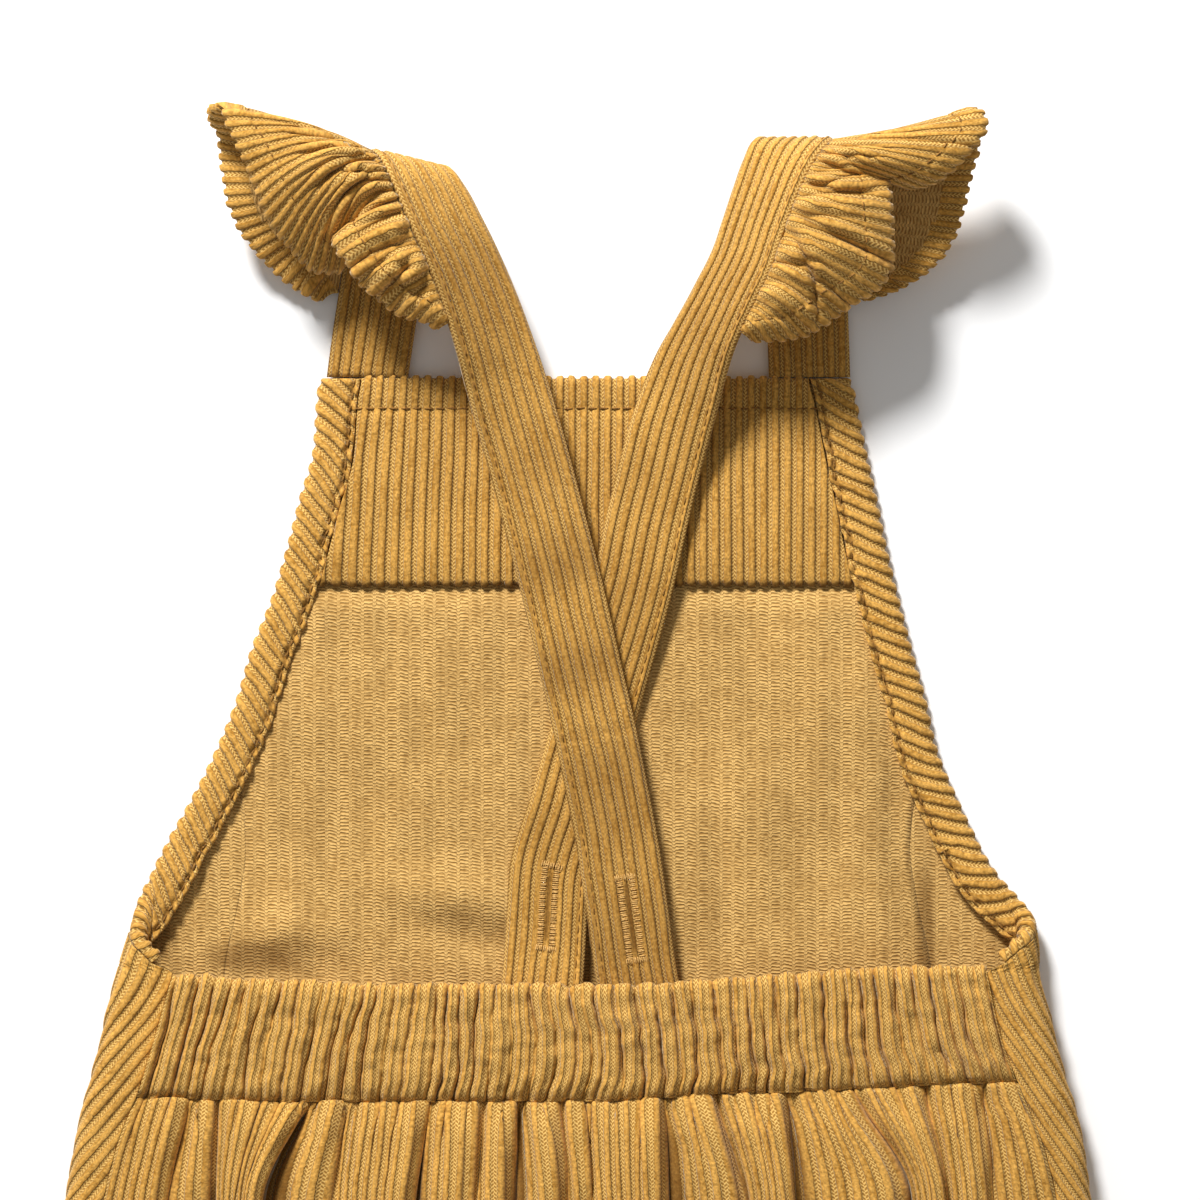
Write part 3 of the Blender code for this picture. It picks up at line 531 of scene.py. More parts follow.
def drift(x, y, size, seed):
    """Smooth random values from -1 to 1 over a plane, that change over about `size`."""
    x, y = np.broadcast_arrays(np.asarray(x, float) / size, np.asarray(y, float) / size)
    cells = np.random.default_rng(seed).uniform(-1, 1, (64, 64))
    low_x, low_y = np.floor(x).astype(int), np.floor(y).astype(int)
    share_x, share_y = ease(0, 1, x - low_x), ease(0, 1, y - low_y)
    lower, upper = low_y % 64, (low_y + 1) % 64
    left, right = (cells[k % 64, lower] * (1 - share_y) + cells[k % 64, upper] * share_y
                   for k in (low_x, low_x + 1))
    return left * (1 - share_x) + right * share_x


def rib(wale):
    """Height of the pile across a wale: 0 on the woven ground and 1 on top of the ridge."""
    from_middle = np.abs((wale % 1.0) * 2 - 1) / (PILE_SHARE + 0.06)
    return np.clip(1 - from_middle**4, 0, 1) ** 0.6


def rounded(distance, radius):
    """Share of the full thickness at a distance from an edge that is rounded over."""
    t = np.clip(np.asarray(distance, float) / radius, 0.0, 1.0)
    return np.maximum(np.sqrt(1 - (1 - t) ** 2), 0.12)


def lengths(points):
    """Distance along each row of points, from its start."""
    steps = np.linalg.norm(np.diff(points, axis=-2), axis=-1)
    start = np.zeros(steps.shape[:-1] + (1,))
    return np.concatenate((start, np.cumsum(steps, axis=-1)), axis=-1)


# ---------------------------------------------------------------- cloth

class Cloth:
    """A cloth's grid of middle points, the directions it faces, and the mesh made round it."""

    def __init__(self, name, middle, outer, inner, wale, looks, flip=False, keep=None,
                 inner_slots=None, shade=0.0, inner_wale=None):
        """`outer` and `inner` are how far each side lies from the middle. `wale` holds the wale
        coordinates across and along, `shade` how much light is lost in creases, and below 0 how
        far the ribs open on a crest. `keep` marks the grid's cells that are cloth, `inner_slots`
        gives the look of each cell's inner side, and `inner_wale` that side's own coordinates."""
        self.middle = middle
        across = np.gradient(middle, axis=1)
        along = np.gradient(middle, axis=0)
        self.facing = unit(np.cross(across, along)) * (-1 if flip else 1)
        grid = middle.shape[:2]
        count = grid[0] * grid[1]
        face = middle + self.facing * np.broadcast_to(outer, grid)[..., None]
        back = middle - self.facing * np.broadcast_to(inner, grid)[..., None]
        index = np.arange(count).reshape(grid)
        corners = index[:-1, :-1], index[:-1, 1:], index[1:, 1:], index[1:, :-1]
        cells = np.stack(corners, axis=-1)
        if keep is None:
            keep = np.ones(cells.shape[:2], bool)
        if inner_slots is None:
            inner_slots = np.ones(cells.shape[:2], int)
        quads, slots = cells[keep], inner_slots[keep]
        if flip:
            quads = quads[:, ::-1]
        # The rim joins the two sides along each edge that only one quad has.
        starts, ends = quads.ravel(), np.roll(quads, -1, axis=1).ravel()
        free = ~np.isin(starts * count + ends, ends * count + starts)
        rim = np.stack((ends, starts, starts + count, ends + count), axis=-1)[free]
        faces = np.vstack((quads, quads[:, ::-1] + count, rim))
        points = np.vstack((face.reshape(-1, 3), back.reshape(-1, 3)))
        used, faces = np.unique(faces, return_inverse=True)
        self.piece = plain_mesh(name, points[used], faces.reshape(-1, 4), looks)
        slots = np.concatenate((np.zeros(len(quads), int), slots, np.zeros(len(rim), int)))
        self.piece.data.polygons.foreach_set("material_index", slots)
        facts = [np.stack(np.broadcast_arrays(*pair, shade), axis=-1).reshape(-1, 3)
                 for pair in (wale, inner_wale or wale)]
        held = self.piece.data.attributes.new("wale", "FLOAT_VECTOR", "POINT")
        held.data.foreach_set("vector", np.vstack(facts)[used].ravel().astype(np.float32))

    def trace(self, rows, columns, lift):
        """Points and facing directions on the cloth at fractional rows and columns."""
        rows, columns = np.broadcast_arrays(np.asarray(rows, float), np.asarray(columns, float))
        top, left = self.middle.shape[0] - 1.001, self.middle.shape[1] - 1.001
        rows, columns = np.clip(rows, 0, top), np.clip(columns, 0, left)
        r, c = rows.astype(int), columns.astype(int)
        dr, dc = (rows - r)[:, None], (columns - c)[:, None]

        def between(values):
            upper = values[r, c] * (1 - dc) + values[r, c + 1] * dc
            lower = values[r + 1, c] * (1 - dc) + values[r + 1, c + 1] * dc
            return upper * (1 - dr) + lower * dr

        facing = unit(between(self.facing))
        return between(self.middle) + facing * lift, facing


def plain_mesh(name, points, faces, looks):
    """A smooth-shaded mesh object from points in millimetres, with its materials."""
    if isinstance(faces, np.ndarray):
        faces = faces.tolist()
    mesh = bpy.data.meshes.new(name)
    mesh.from_pydata((np.asarray(points) * MM).tolist(), [], faces)
    mesh.update()
    mesh.shade_smooth()
    for look in looks:
        mesh.materials.append(look)
    piece = bpy.data.objects.new(name, mesh)
    bpy.context.scene.collection.objects.link(piece)
    return piece


def turned(name, profile, centre, look, sides=48):
    """A solid turned round the Z axis from rows of (radius, height), bottom to top."""
    points = [(0.0, 0.0, profile[0][1])]
    for radius, height in profile:
        for k in range(sides):
            angle = 2 * math.pi * k / sides
            points.append((radius * math.cos(angle), radius * math.sin(angle), height))
    points.append((0.0, 0.0, profile[-1][1]))
    faces = []
    for k in range(sides):
        after = (k + 1) % sides
        faces.append((0, 1 + after, 1 + k))
        for ring in range(len(profile) - 1):
            low = 1 + ring * sides
            faces.append((low + k, low + after, low + sides + after, low + sides + k))
        last = 1 + (len(profile) - 1) * sides
        faces.append((last + k, last + after, len(points) - 1))
    return plain_mesh(name, np.array(points) + centre, faces, [look])


def dress(piece, node, **sheet):
    """Puts a finished piece in the place of its solid."""
    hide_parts(node)
    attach(piece, "root")


# ---------------------------------------------------------------- stitches

def stitch_tree():
    """The nodes that lay one stitch after the other along a path, each a small plump thread, and
    the identifiers of their inputs."""
    tree = bpy.data.node_groups.new("Stitches along a seam", "GeometryNodeTree")
    sockets = {}
    for label, kind, default in (
            ("Geometry", "Geometry", None), ("Pitch", "Float", 0.0028),
            ("Length", "Float", 0.0024), ("Thread", "Float", 0.0003),
            ("Unevenness", "Float", 0.0001), ("Seed", "Int", 1), ("Look", "Material", None)):
        socket = tree.interface.new_socket(label, in_out="INPUT", socket_type="NodeSocket" + kind)
        if default is not None:
            socket.default_value = default
        sockets[label] = socket.identifier
    tree.interface.new_socket("Geometry", in_out="OUTPUT", socket_type="NodeSocketGeometry")
    nodes = Nodes(tree)
    inputs = tree.nodes.new("NodeGroupInput").outputs
    given = {label: Value(nodes, inputs[label]) for label in sockets}
    node, vector = nodes.node, {"data_type": "FLOAT_VECTOR"}
    path = node("GeometryNodeMeshToCurve", None, given["Geometry"])
    even = node("GeometryNodeResampleCurve", {"mode": "LENGTH"}, Curve=path, Length=given["Pitch"])
    sway = node("FunctionNodeRandomValue", vector, given["Unevenness"] * -1.0, given["Unevenness"],
                Seed=given["Seed"])
    laid = node("GeometryNodeSetPosition", None, even, Offset=sway)
    lie = node("GeometryNodeInputNamedAttribute", vector, Name="lie")
    facing = node("GeometryNodeInputNamedAttribute", vector, Name="facing")
    turn = node("FunctionNodeAxesToRotation", {"primary_axis": "X", "secondary_axis": "Z"},
                lie, facing)
    size = node("ShaderNodeCombineXYZ", None, given["Length"] * 0.5, given["Thread"],
                given["Thread"])
    thread = node("GeometryNodeMeshUVSphere", None, Segments=6, Rings=5, Radius=1.0)
    lying = node("GeometryNodeTransform", None, thread, Rotation=(0.0, math.pi / 2, 0.0))
    rows = node("GeometryNodeInstanceOnPoints", None, laid, Instance=lying, Rotation=turn,
                Scale=size)
    real = node("GeometryNodeRealizeInstances", None, rows)
    soft = node("GeometryNodeSetShadeSmooth", None, real)
    dyed = node("GeometryNodeSetMaterial", None, soft, Material=given["Look"])
    nodes.put(dyed, tree.nodes.new("NodeGroupOutput").inputs[0])
    return tree, sockets


def sew(name, paths, sizes, look, pitch=1.0, length=1.0, thread=1.0, seed=1):
    """Stitches along paths of (points, facing, lie), as one plain mesh. Where lie is None each
    stitch lies along its path. The factors are shares of the sizes a user sets."""
    points, facings, lies, edges = [], [], [], []
    for place, facing, lie in paths:
        start = len(points)
        points.extend(place)
        facings.extend(facing)
        lies.extend(unit(np.gradient(place, axis=0)) if lie is None else lie)
        edges.extend((start + k, start + k + 1) for k in range(len(place) - 1))
    mesh = bpy.data.meshes.new(name)
    mesh.from_pydata((np.array(points) * MM).tolist(), edges, [])
    for key, values in (("facing", facings), ("lie", lies)):
        held = mesh.attributes.new(key, "FLOAT_VECTOR", "POINT")
        held.data.foreach_set("vector", np.array(values, np.float32).ravel())
    path = bpy.data.objects.new(name + "_path", mesh)
    bpy.context.scene.collection.objects.link(path)
    tree, sockets = stitch_tree()
    row = path.modifiers.new("Stitches", "NODES")
    row.node_group = tree
    for label, value in (("Pitch", sizes.stitch_pitch * pitch), ("Seed", seed), ("Look", look),
                         ("Length", sizes.stitch_length * length),
                         ("Thread", sizes.thread_radius * thread),
                         ("Unevenness", sizes.stitch_sway)):
        row[sockets[label]] = value
    depsgraph = bpy.context.evaluated_depsgraph_get()
    made = bpy.data.meshes.new_from_object(path.evaluated_get(depsgraph))
    for key in ("facing", "lie"):
        if key in made.attributes:
            made.attributes.remove(made.attributes[key])
    made.name = name
    stitches = bpy.data.objects.new(name, made)
    bpy.context.scene.collection.objects.link(stitches)
    path.modifiers.remove(row)
    bpy.data.objects.remove(path, do_unlink=True)
    if not made.polygons:
        raise RuntimeError(f"{name}: no stitch was made")
    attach(stitches, "root")
    return stitches


def sew_on(cloth, name, rows, columns, lift, sizes, looks, **shares):
    """A row of seam stitches on a cloth through fractional rows and columns."""
    place, facing = cloth.trace(rows, columns, lift)
    return sew(name, [(place, facing, None)], sizes, looks["seam"], **shares)


# ---------------------------------------------------------------- the body's flat development
# Each side's cloth is laid out flat from the centre line to the back seam: `across` is measured
# from the centre line and goes on round the side fold, `y` stays as it is.

def edge_of(side, y):
    """Distance from the centre line to the garment's outer edge."""
    return smooth(OUTLINE["y"], OUTLINE[side], y)


def fold_radius(y):
    """Radius of the side fold at the middle of the cloth."""
    return (smooth(SIDE_HEIGHT["y"], SIDE_HEIGHT["z"], y) - HALF) / 2


def back_seam(side, y):
    """Distance from the centre line to the back seam."""
    return smooth(BACK_SEAM["y"], BACK_SEAM[side], y)


def fold_start(side, y):
    """Distance from the centre line at which the cloth leaves the surface."""
    radius = fold_radius(y)
    beyond = underarm_share(y) * (math.pi * radius + SIDE_LAP)
    turned_by = np.minimum(beyond / radius, math.pi / 2)
    half_ply = HALF * ease(SIDE_FOLD_TOP, SIDE_FOLD_FULL, y)
    return edge_of(side, y) - half_ply - radius * np.sin(turned_by)


def underarm_share(y):
    """How much of the way to the back seam the cloth reaches at this height."""
    return smooth(UNDERARM["y"], UNDERARM["share"], y)


def seam_reach(side, y):
    """Length of cloth from the fold's start round to the back seam."""
    return math.pi * fold_radius(y) + fold_start(side, y) - back_seam(side, y)


def armhole_edge(side, y):
    """The armhole's edge in the flat development."""
    return fold_start(side, y) + underarm_share(y) * seam_reach(side, y)


def lay(side, across, y, inward=0.0):
    """Where a point of the flat development lies, `inward` of the cloth's middle."""
    across, y = np.broadcast_arrays(np.asarray(across, float), np.asarray(y, float))
    start, radius = fold_start(side, y), fold_radius(y)
    beyond = across - start
    angle = np.clip(beyond / radius, 0.0, math.pi)
    returned = np.maximum(beyond - math.pi * radius, 0.0)
    x = start + np.minimum(beyond, 0.0) + radius * np.sin(angle) - returned
    z = HALF + radius * (1 - np.cos(angle))
    x = x - inward * np.sin(angle)
    z = z + inward * np.cos(angle)
    return np.stack((SIDES[side] * x, y, z), axis=-1)


def into_cloth(side, y):
    """Unit step in the flat development from the armhole's edge straight into the cloth."""
    step = 0.4
    slope = (armhole_edge(side, y + step) - armhole_edge(side, y - step)) / (2 * step)
    length = np.sqrt(1 + slope**2)
    return -1 / length, slope / length


def parallel_edge(side, y, width):
    """A line in the flat development that follows the armhole's edge `width` inside it."""
    heights = np.arange(BIB_TOP + BINDING_WIDTH + 2, ARMHOLE_FOOT - 1, -0.5)
    into_across, into_y = into_cloth(side, heights)
    reach = heights + width * into_y
    across = armhole_edge(side, heights) + width * into_across
    keep = np.concatenate(([True], reach[1:] < np.minimum.accumulate(reach)[:-1]))
    return np.interp(y, reach[keep][::-1], across[keep][::-1])


def leg_curve(x):
    """Height of the leg opening's hem at a distance from the centre line."""
    outer = edge_of("left", LEG_TOP)
    share = np.clip((outer - np.abs(x)) / (outer - CROTCH_HALF), 0, 1)
    return LEG_TOP + (CROTCH - LEG_TOP) * share**LEG_CURVE


def leg_edge(y):
    """Distance from the centre line to the leg opening's hem at a height."""
    outer = edge_of("left", LEG_TOP)
    share = np.clip((LEG_TOP - np.asarray(y, float)) / (LEG_TOP - CROTCH), 0, 1) ** (1 / LEG_CURVE)
    return outer + (CROTCH_HALF - outer) * share


# ---------------------------------------------------------------- panels

def front_reach(side, y):
    """Distance from the centre line to the front panel's edge."""
    bound = np.minimum(smooth(FRONT_SEAM["y"], FRONT_SEAM["x"], y), leg_edge(y))
    return np.where(y > FRONT_SEAM["y"][-1], parallel_edge(side, y, BINDING_INSET), bound)


def spot(x, y, middle, height, half_x, half_y):
    """A soft spot, 1 in its middle, with its half widths along X and Y."""
    return np.exp(-((x - middle) / half_x) ** 2 - ((y - height) / half_y) ** 2)


def seam_shadow(x, y):
    """How dark the inside is in the soft hollows over the side seams."""
    return sum(dark * spot(x, y, *place) for *place, dark in SEAM_SHADOWS)


def make_front_panel(sizes, looks):
    """Bib and lower front in one, face down, so that its woven wrong side shows."""
    heights = np.linspace(BIB_TOP, CROTCH, FRONT_GRID[0])
    share = np.linspace(0, 1, FRONT_GRID[1])
    left, right = front_reach("left", heights), front_reach("right", heights)
    x = -left[:, None] + (left + right)[:, None] * share
    y = np.broadcast_to(heights[:, None], x.shape)
    # The cloth lies close to the surface, with a few soft hollows and swells above the waist.
    free = ease(*FRONT_FREE, y) * ease(0, 14, x + left[:, None]) * ease(0, 14, right[:, None] - x)
    swell = 0.8 * drift(x, y, 31, 4) + 0.4 * drift(x, y, 13, 9)
    hollow = np.zeros_like(x)
    for dimple in FRONT_DIMPLES:
        turn = math.radians(dimple["turn"])
        beside, above = x - dimple["x"], y - dimple["y"]
        u = beside * math.cos(turn) + above * math.sin(turn)
        v = above * math.cos(turn) - beside * math.sin(turn)
        raised = dimple["rise"] * np.exp(-((u / dimple["long"]) ** 2 + (v / dimple["wide"]) ** 2))
        swell = swell + 1.5 * raised
        hollow = hollow - raised
    lift = np.clip(1.2 + swell, 0.0, None) * free
    half = HALF + lift / 2
    pitch = sizes.wale_pitch / MM
    edge = rounded(np.minimum(BIB_TOP - y, y - CROTCH) + 0.1, 0.8)
    # Painted shade in the hollows, and painted shadows over the side seams.
    shade = np.clip(0.42 * hollow, 0, 0.9) * free + seam_shadow(x, y)
    cloth = Cloth("front_panel_cloth", np.stack((x, y, half), axis=-1), half * edge, half * edge,
                  (x / pitch, y / pitch), (looks["wrong"], looks["corduroy"]), flip=True,
                  shade=np.clip(shade, 0, 0.9))
    dress(cloth.piece, "front_panel", flat=(0.198, 0.36), area=0.0589, held="laid",
          rests_on=["floor"])


def make_side_panels(sizes, looks):
    """Bias panels from the front seams round the side folds to the back seams."""
    pitch = sizes.wale_pitch / MM
    for side in SIDES:
        heights = np.concatenate((np.linspace(SIDE_TOP, LEG_TOP, SIDE_ROWS[0]),
                                  np.linspace(LEG_TOP - 0.7, SIDE_FOOT, SIDE_ROWS[1])))
        across = np.zeros((len(heights), SIDE_COLUMNS))
        for r, y in enumerate(heights):
            seam = smooth(FRONT_SEAM["y"], FRONT_SEAM["x"], y)
            held_y = max(y, LEG_TOP)
            end = fold_start(side, held_y) + seam_reach(side, held_y) - SEAM_SLACK
            if y > ARMHOLE_FOOT:
                under_binding = float(parallel_edge(side, y, BINDING_INSET))
                end += (min(under_binding, end) - end) * ease(ARMHOLE_FOOT, ARMHOLE_FOOT + 3.0, y)
            start = min(fold_start(side, held_y), seam + 0.4 * (end - seam))
            if y < LEG_TOP:
                start = min(start, float(leg_edge(y)))
            turned_up = SIDE_COLUMNS - SIDE_FLAT_COLUMNS
            across[r] = np.concatenate((np.linspace(seam, start, SIDE_FLAT_COLUMNS),
                                        np.linspace(start, end, turned_up + 1)[1:]))
        y = np.broadcast_to(heights[:, None], across.shape)
        middle = lay(side, across, y)
        angle = math.radians(SIDE_WALES[side][0])
        close = pitch * SIDE_WALES[side][1]
        # Under the armhole the wales turn steeper.
        turn = BEND_FULL - BEND_FOOT
        bent = np.clip(y - BEND_FOOT, 0, turn) ** 2 / (2 * turn) + np.clip(y - BEND_FULL, 0, None)
        bent = y - WALE_BEND * bent
        # Distances on the back part are counted straight across the sheet.
        level = across - 2 * fold_start(side, y) - math.pi * fold_radius(y)
        wale = (level * math.sin(angle) - bent * math.cos(angle)) / close
        wale = wale + 0.10 * drift(across, y, 8, 23)
        along = (level * math.cos(angle) + y * math.sin(angle)) / close
        on_floor = across < fold_start(side, np.maximum(y, LEG_TOP)) + 1.0
        off_floor = np.where(on_floor, 0.0, 1.0)
        worn = 0.72 + 0.28 * drift(across, y, 9, 21)
        rise = sizes.wale_rise / MM * worn * rib(wale) * off_floor
        keep = np.ones((len(heights) - 1, SIDE_COLUMNS - 1), bool)
        keep[heights[1:] < LEG_TOP, SIDE_FLAT_COLUMNS - 1:] = False
        crease = (0.35 * drift(across, y, 11, 22) + 0.2 * drift(across, y, 4, 24)) * off_floor
        x = middle[..., 0]
        # Painted shade on the inside under the armhole and over the side seams.
        hollow = UNDERARM_SHADE[side] * spot(across, y, *UNDERARM_SHADE_SPOT)
        shade = np.where(on_floor, hollow + seam_shadow(x, y), 0.0)
        cloth = Cloth("side_panel_cloth_" + side, middle, HALF - 0.2 + rise + crease, HALF,
                      (wale, along), (looks["corduroy"], looks["wrong"]), flip=side == "left",
                      keep=keep, shade=np.clip(shade, 0, 0.95),
                      inner_wale=(x / pitch, y / pitch))
        dress(cloth.piece, "side_panel_" + side, flat=(0.072, 0.19), area=0.0072, held="folded",
              rests_on=["floor"])


def make_bib_facing(sizes, looks):
    """Corduroy turned to the inside of the bib, stitched down under its top edge."""
    pitch = sizes.wale_pitch / MM
    heights = np.linspace(BIB_TOP, BIB_TOP - FACING_DEPTH, FACING_GRID[0])
    cover = BINDING_WIDTH + GAP
    left, right = parallel_edge("left", heights, cover), parallel_edge("right", heights, cover)
    share = np.linspace(0, 1, FACING_GRID[1])
    x = -left[:, None] + (left + right)[:, None] * share
    y = np.broadcast_to(heights[:, None], x.shape)
    # Beside the left binding the wales lean with it.
    lean = 0.12 * np.exp(-(x + left[:, None]) / 22.0)
    wale = (x + lean * (BIB_TOP - y)) / pitch + 0.06 * drift(x, y, 14, 31)
    down = BIB_TOP - y
    ridge = rib(wale)
    pressed = 1 - 0.75 * bell(y - FACING_STITCH, 0.9)
    edge = rounded(down + 0.1, 1.2) * rounded(FACING_DEPTH - down + 0.1, 1.0)
    rise = sizes.wale_rise / MM * (0.85 + 0.15 * drift(x, y, 6, 32)) * ridge * pressed
    scallop = 0.7 * ridge + 0.2 * drift(wale, 0.0, 0.9, 34)
    y = y + scallop * ease(1.2, 0.0, down) - scallop * ease(FACING_DEPTH - 1.6, FACING_DEPTH, down)
    swell = 0.25 * drift(x, y, 17, 33) * ease(0, 6, down)
    level = CLOTH + GAP + HALF + np.abs(swell)
    middle = np.stack((x, y, level), axis=-1)
    hollow = 0.35 * bell(y - FACING_STITCH, 1.2)
    pressed_edge = 1 - 0.4 * ease(6.0, 0.0, FACING_DEPTH - down)
    # Painted shade: the facing is darkened slightly all over in random patches, and a dark line
    # along its lower edge stands in for the shadow that edge casts.
    wear_and_shade = 0.20 + 0.12 * drift(x, y, 12, 35) + 0.7 * ease(0.9, 0.2, FACING_DEPTH - down)
    outer = (HALF - hollow + rise) * edge * pressed_edge
    cloth = Cloth("bib_facing_cloth", middle, outer, HALF * edge, (wale, y / pitch),
                  (looks["corduroy"], looks["wrong"]), flip=True, shade=np.clip(wear_and_shade, 0, 0.9))
    row = index_of(BIB_TOP - FACING_STITCH, BIB_TOP - heights)
    columns = np.linspace(1, FACING_GRID[1] - 2, 300)
    stitches = sew_on(cloth, "facing_stitches", row, columns, HALF - 0.1, sizes, looks, seed=3)
    dress(cloth.piece, "bib_facing", flat=(0.136, 0.0515), area=0.0065, held="laid",
          rests_on=["front_panel"], with_pieces=[stitches])


def binding_edge(side):
    """Heights at even steps along the armhole's edge, and the length up to each."""
    fine = np.linspace(BIB_TOP, 0.6, 1200)
    edge = armhole_edge(side, fine)
    run = np.concatenate(([0.0], np.cumsum(np.hypot(np.diff(edge), np.diff(fine)))))
    even = np.linspace(0, run[-1], int(run[-1] / BINDING_STEP))
    return np.interp(even, run, fine), even


def make_armhole_bindings(sizes, looks):
    """Bias strips turned over the armholes' edges to the inside and stitched down."""
    pitch = sizes.wale_pitch / MM
    profile = np.array(BINDING_PROFILE)
    place = lengths(profile)
    across = np.linspace(0, place[-1], BINDING_COLUMNS)
    section, inward = (smooth(place, column, across) for column in profile.T)
    for side in SIDES:
        heights, run = binding_edge(side)
        middle = np.zeros((len(heights), len(across), 3))
        waver = 0.32 * drift(run, 0.0, 2.3, 45) + 0.15 * drift(run, 0.0, 1.1, 46)
        for r, y in enumerate(heights):
            into_across, into_y = into_cloth(side, y)
            width = section + ease(4, 9, across) * float(waver[r])
            lower = into_y * width * ease(0, 12, BIB_TOP - y)
            here = np.minimum(y + lower, BIB_TOP)
            clear = 0.85 * ease(30, 20, here) * (inward > HALF)
            edge = armhole_edge(side, y)
            middle[r] = lay(side, edge + into_across * width, here, inward + clear)
        angle = math.radians(BINDING_WALE_ANGLE)
        lean = -SIDES[side]
        t, w = np.broadcast_arrays(run[:, None], across[None, :])
        wale = (t * math.sin(angle) - lean * w * math.cos(angle)) / pitch
        wale = wale + 0.05 * drift(t, w, 9, 41)
        along = (t * math.cos(angle) + lean * w * math.sin(angle)) / pitch
        from_inner = place[-1] - w
        stitched = bell(from_inner - BINDING_STITCH, 0.7)
        lumps = 0.42 * drift(t, w, 1.7, 42) + 0.2 * drift(t, w, 0.8, 43)
        lumps = lumps * ease(4.2, 1.6, from_inner)
        rise = sizes.wale_rise / MM * 1.15 * rib(wale) * (1 - 0.7 * stitched)
        rise = rise * (1 - 0.9 * ease(0.3, 0.0, inward))
        edge = rounded(from_inner + 0.1, 0.9) * rounded(BIB_TOP - middle[..., 1] + 0.1, 1.3)
        outer = (HALF - 0.1 - 0.45 * stitched + rise + lumps) * edge
        # Painted shade: dark dots in the groove along the row of stitches.
        stitch_groove_shade = np.clip(stitched * (0.45 + 0.9 * drift(t, w, 1.3, 44)), 0, 0.85)
        cloth = Cloth("armhole_binding_cloth_" + side, middle, outer, (HALF - 0.05) * edge,
                      (wale, along), (looks["corduroy"], looks["wrong"]), flip=side == "left",
                      shade=stitch_groove_shade)
        column = index_of(place[-1] - BINDING_STITCH, across)
        stitches = sew_on(cloth, "binding_stitches_" + side, np.linspace(3, len(heights) - 4, 400),
                          column, HALF - 0.25, sizes, looks, length=0.85, seed=5)
        dress(cloth.piece, "armhole_binding_" + side, flat=(0.0125, 0.185), area=0.0022,
              held="folded", rests_on=["front_panel"], with_pieces=[stitches])


# ---------------------------------------------------------------- waist casing and back

def casing_side(side, y):
    """Distance from the centre line to the casing's and the back's side seam."""
    return back_seam(side, y) - SEAM_SLACK


def casing_edge(x, share):
    """Height on the sheet of a line `share` of the way from the casing's top to its bottom."""
    top = smooth(CASING_EDGES["x"], CASING_EDGES["top"], x)
    return top + (smooth(CASING_EDGES["x"], CASING_EDGES["bottom"], x) - top) * share


def casing_foot(x):
    """Height of the back panel's top edge, just under the casing."""
    return smooth(CASING_EDGES["x"], CASING_EDGES["bottom"], x) - GAP


def gather_grooves():
    """Wale numbers of the grooves between the gathers, mostly two wales apart."""
    steps = np.random.default_rng(GATHER_SEED).choice(GATHER_STEPS, BACK_WALES)
    return np.cumsum(steps) - 4.0


def gather_swell(wale, down):
    """Height of the gathers as a share, plump with narrow grooves. `down` is measured from the
    casing's top edge, and the gathers wander and join on their way down."""
    grooves = gather_grooves()
    moved = wale + 0.45 * drift(wale, down * 0.25, 4.0, 51)
    moved = moved + 0.16 * drift(wale, down * 0.4, 1.5, 52)
    k = np.clip(np.searchsorted(grooves, moved) - 1, 0, len(grooves) - 2)
    share = np.clip((moved - grooves[k]) / (grooves[k + 1] - grooves[k]), 0, 1)
    nearest = k + (share > 0.5)
    plump = (1 - np.abs(share * 2 - 1) ** 2.2) ** 0.75
    deep = 0.42 + 0.58 * ease(-0.5, 0.2, drift(nearest * 3.7, down * 0.055, 1.0, 53))
    full = 0.86 + 0.14 * drift(k * 2.3, down * 0.05, 1.0, 54)
    return full * (1 - (1 - plump) * deep)


def spread(low, high, widths):
    """Places from low to high with the widths between them kept in proportion."""
    run = np.concatenate(([0.0], np.cumsum(widths)))
    return low + (high - low) * run / run[-1]


def seam_waver(wale):
    """How the seam under the casing wavers up and down as the gathers cross it."""
    return 0.40 * drift(wale, 0.0, 1.7, 57)


def crest_opening(swell):
    """The woven ground opens on the gathers' crests and is lost in their grooves: below 0 where it
    opens, above 0 in a crease, where the grooves get painted shade."""
    return ease(0.46, 0.10, swell) * 0.8 - ease(0.60, 0.94, swell)


